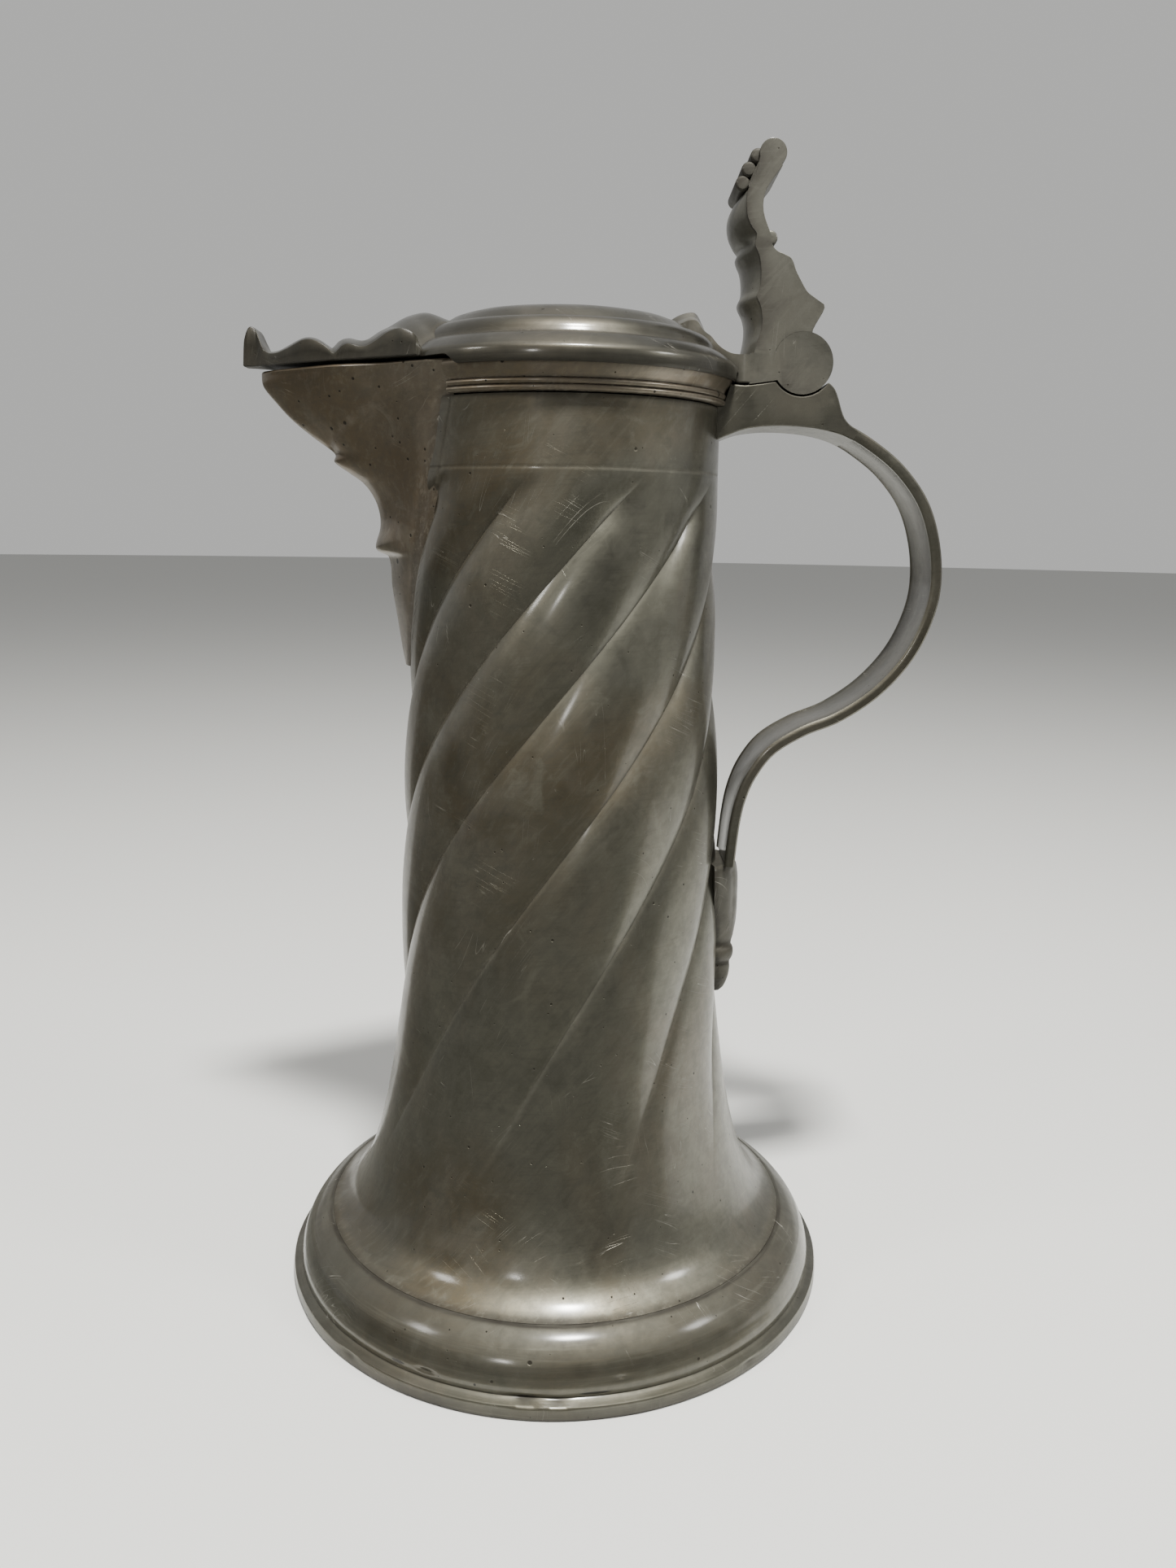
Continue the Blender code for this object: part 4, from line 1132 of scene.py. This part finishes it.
def build_arm():
    """A leaf lying on the crown, a waist, and a block that carries the two outer knuckles."""
    knuckle = arc(HINGE, KNUCKLE_RADIUS, 163, -146, 72)
    block = slab([(48, 262.9), *knuckle, (51.6, 255.75), (48, 255.25)], HANDLE_HALF)
    arm = join(block, build_arm_leaf())
    slot = rod(SEAT_RADIUS, KNUCKLE_HALF + GAP, HINGE, 96)
    bore = rod(PIN_RADIUS + 0.05, PIN_END + 0.05, HINGE)
    return cut(arm, slot, bore, turned(ARM_SEAT, 200))


def arm_dirt_and_shade(x, y, z):
    """Dirt and painted shade: darker at the lid, round the knuckle's edge, behind the leaf and
    along the underside.
    """
    radius = hypot(x, y)
    value = 0.7 * ramp(0.8, 0, z - lid_top_at(radius)) * (radius < LID_RADIUS)
    off_x, off_z = x - HINGE[0], z - HINGE[1]
    dotted = 0.5 + 0.5 * waver(x, y, z, 1.3, 2)
    rim = bump(hypot(off_x, off_z) - KNUCKLE_RADIUS, -0.1, 0.2)
    value += 0.9 * rim * dotted * ramp(95, 125, abs(angle_of(off_x, off_z)))
    value += 0.6 * bump(hypot(x - 32, (z - 271.5) * 0.7), 0, 1)
    return value + 0.6 * ramp(256.3, 255.5, z)


# (x, z) up the front edge of the thumbpiece's flat side, and up the middle of its bowed front
THUMB_FRONT = (
    (48.9, 262.95), (49.4, 265.7), (50.1, 267.4), (50.6, 269.8), (50.5, 272), (50, 274.5),
    (48.9, 276.8), (49.5, 278.6), (49.8, 281.2), (49.6, 284.3), (49, 286.8), (47.9, 289.1),
    (48.2, 291.7), (46.9, 293.4), (45.8, 295.5), (45.3, 298), (45.3, 301.2), (46, 303.2),
    (47.1, 305.4), (47.8, 307.6))
THUMB_MIDDLE = (
    (46.4, 262.95), (47.1, 266.6), (47.3, 270.2), (46.7, 273.1), (45.2, 276.2), (46, 278.6),
    (46, 281.8), (45.4, 284.7), (44.2, 287.5), (44.7, 289.3), (43.5, 290.7), (42.3, 292.8),
    (41.7, 295.5), (41.9, 298), (43, 300.4), (44.9, 302.6))
# (x, z) down its back, then round the pointed stop
THUMB_BACK = (
    (54, 307.9), (53, 306.6), (51.4, 304.3), (50.1, 302.2), (49.6, 300), (49.6, 297.9),
    (50.1, 295.8), (50.9, 293.8), (51.9, 291.6), (52.3, 289.4), (53.4, 288), (55.2, 287.2),
    (57, 286.4), (57.9, 285.2), (58.7, 283.2), (60.1, 280.8), (61.5, 278.6), (62.4, 277.7))
THUMB_STOP = (
    (64.4, 276.4), (66.3, 275.2), (66.5, 274.4), (66.1, 273.2), (65.2, 271.6), (64.4, 270.2),
    (63.8, 268.9))
THUMB_ROLL = (51.5, 310.9)
THUMB_ROLL_RADIUS = 3.45
THUMB_FOOT, THUMB_PLATE_TOP = 262.95, 302.6
THUMB_HALF = 11.6
THUMB_RIBS = ((47.9, 310.7), (45.8, 307.5), (44.4, 304.2))
THUMB_RIB_RADIUS = 1.9
RIB_BED = (
    (46.4, 301.6), (45.6, 303.5), (46.9, 306.7), (48.6, 310.4), (51, 309), (49, 304), (48, 301.6))


def build_thumb_front():
    """The scalloped front, bowed from side to side."""
    half = THUMB_HALF - 0.28
    across = [half * sin(radians(90 * k / 14)) for k in range(-14, 15)]
    rows = []
    for z in [THUMB_FOOT, *spread(THUMB_FOOT, THUMB_PLATE_TOP, 120)]:
        edge = curve_at([(h, x) for x, h in THUMB_FRONT], z) + 0.35
        middle = curve_at([(h, x) for x, h in THUMB_MIDDLE], z)
        row = [(edge + (middle - edge) * (1 - abs(y / half) ** 2.4), y, z) for y in across]
        rows.append(row + [(edge + 1.6, half - 0.3, z), (edge + 1.6, 0.3 - half, z)])
    return skin(rows)


def build_thumbpiece():
    """Flat-sided lever with a scalloped, bowed front, three thumb ribs, a top roll and a stop."""
    front = [(48.8, 262), *smooth_path(THUMB_FRONT, 4)[1:-1]]
    roll = arc(THUMB_ROLL, THUMB_ROLL_RADIUS, 196, -48, 34)
    seat = arc(HINGE, KNUCKLE_RADIUS - 0.8, 74, 168, 24)
    outline = [*front, *roll, *smooth_path(THUMB_BACK, 4), *THUMB_STOP, *seat]
    web = bevelled(slab(outline, THUMB_HALF), 0.1, 2)

    pieces = [build_thumb_front()]
    for i, centre in enumerate(THUMB_RIBS):
        pieces.append(rod(THUMB_RIB_RADIUS, 9.7 - 0.15 * i, centre, 40, 0.9))
    pieces.append(slab(RIB_BED, 10.6))
    pieces.append(rod(1.9, 8.8, (52.1, 291.5), 32, 0.6))
    thumb = join(web, *pieces)
    clear = rod(SEAT_RADIUS, KNUCKLE_HALF + GAP, HINGE, 96)
    keep_off = rod(KNUCKLE_RADIUS + 0.04, HANDLE_HALF * 2, HINGE, 144)
    rest = slab([(40, 255), (60, 255), (60, 262.94), (40, 262.94)], 20)
    return cut(thumb, clear, keep_off, rest)


def thumb_dirt_and_shade(x, y, z):
    """Dirt and painted shade: darker along the front's edges, between the ribs and under the curl,
    with painted shade all over the top, more at its front, and a little everywhere.
    """
    def spot(centre, size):
        return bump(hypot(x - centre[0], z - centre[1]), 0, size)

    value = 0.8 * spot((52.6, 289.8), 1.3) + 0.45 * spot((62, 278), 1)
    if 263.5 < z < 303:
        edge = curve_at([(h, e) for e, h in THUMB_FRONT], z)
        value += 0.9 * bump(x, edge + 0.1, 0.4) * ramp(10.6, 11.3, abs(y))
    for (ax, az), (bx, bz) in zip(((51.5, 311.5), *THUMB_RIBS), THUMB_RIBS):
        value += 0.8 * spot(((ax + bx) / 2 - 0.6, (az + bz) / 2), 0.9)
    top = ramp(298, 305, z)
    return value + 0.42 * top + 0.25 * top * ramp(49.5, 47.5, x) + 0.3


# ---- everything
make_camera()
make_stage()

# Copies of one pewter at different brightness: besides patina, the base colours paint light and
# shade, the lid and its cover darkened as painted shade and the collar given the lighter spout
# pewter as painted light
BODY = pewter("pewter_body", (0.15, 0.146, 0.118), (0.108, 0.082, 0.046), 0.7, roughness=0.44)
FOOT = pewter("pewter_foot", (0.13, 0.127, 0.102), (0.102, 0.083, 0.052), brush="turned",
              shine=1.33, gouges=(((4, -75.8, 5.9), 4.8, 0.45), ((-46.9, -66.1, 6.7), 2.4, 0.5),
                                  ((-12.5, -74.3, 13), 0.7, 0.6)))
SPOUT = pewter("pewter_spout", (0.245, 0.222, 0.18), (0.19, 0.14, 0.084), 0.8, roughness=0.46,
               pits=1.6, pitted=((-53, -22, 239.2), 7.5, 2.4))
HANDLE = pewter("pewter_handle", (0.122, 0.119, 0.098), (0.11, 0.09, 0.059), grain=0.5)
LID = pewter("pewter_lid", (0.072, 0.069, 0.057), (0.058, 0.049, 0.034), brush="turned")
COVER = pewter("pewter_cover", (0.068, 0.066, 0.055), (0.056, 0.047, 0.034), roughness=0.44,
               grain=0.5)
CAST = pewter("pewter_cast", (0.162, 0.159, 0.136), (0.134, 0.113, 0.08), 0.45, roughness=0.44,
              grain=0.35)


# an even darkening over a whole piece: dirt and painted shade, inside the drum and inside the
# knuckles
def even_dirt_and_shade(amount):
    return lambda x, y, z: amount


# how to build it, where its dirt and painted shade are, then its name, body, CAD node, material
# slot and material
PIECES = (
    (build_drum, drum_dirt_and_shade, "fluted_drum", "vessel", "barrel", "pewter_body", BODY),
    (build_foot, foot_dirt_and_shade, "moulded_foot", "vessel", "foot_ring", "pewter_body", FOOT),
    (build_floor_disc, even_dirt_and_shade(0.3), "drum_floor", "vessel", "floor_disc", "pewter_body", FOOT),
    (build_collar, collar_dirt_and_shade, "reeded_collar", "vessel", "mouth_collar", "pewter_body", SPOUT),
    (build_spout, spout_dirt_and_shade, "beak_spout", "vessel", "spout", "pewter_spout", SPOUT),
    (build_handle, handle_dirt_and_shade, "strap_handle", "vessel", "handle", "pewter_handle", HANDLE),
    (build_leaf, leaf_dirt_and_shade, "handle_leaf", "vessel", "lower_leaf", "pewter_handle", HANDLE),
    (build_pin, even_dirt_and_shade(0.4), "lid_pin", "vessel", "hinge_pin", "pewter_handle", HANDLE),
    (build_lid, lid_dirt_and_shade, "stepped_lid", "lid", "lid_dome", "pewter_lid", LID),
    (build_cover, cover_dirt_and_shade, "beak_cover", "lid", "spout_cover", "pewter_lid", COVER),
    (build_arm, arm_dirt_and_shade, "lid_arm", "lid", "hinge_arm", "pewter_lid", CAST),
    (build_thumbpiece, thumb_dirt_and_shade, "thumb_lever", "lid", "thumbpiece", "pewter_lid", CAST),
)
for build, darkening, name, body, node, slot, material in PIECES:
    finish_piece(dirt_and_shade(build(), darkening), name, body, node, material)
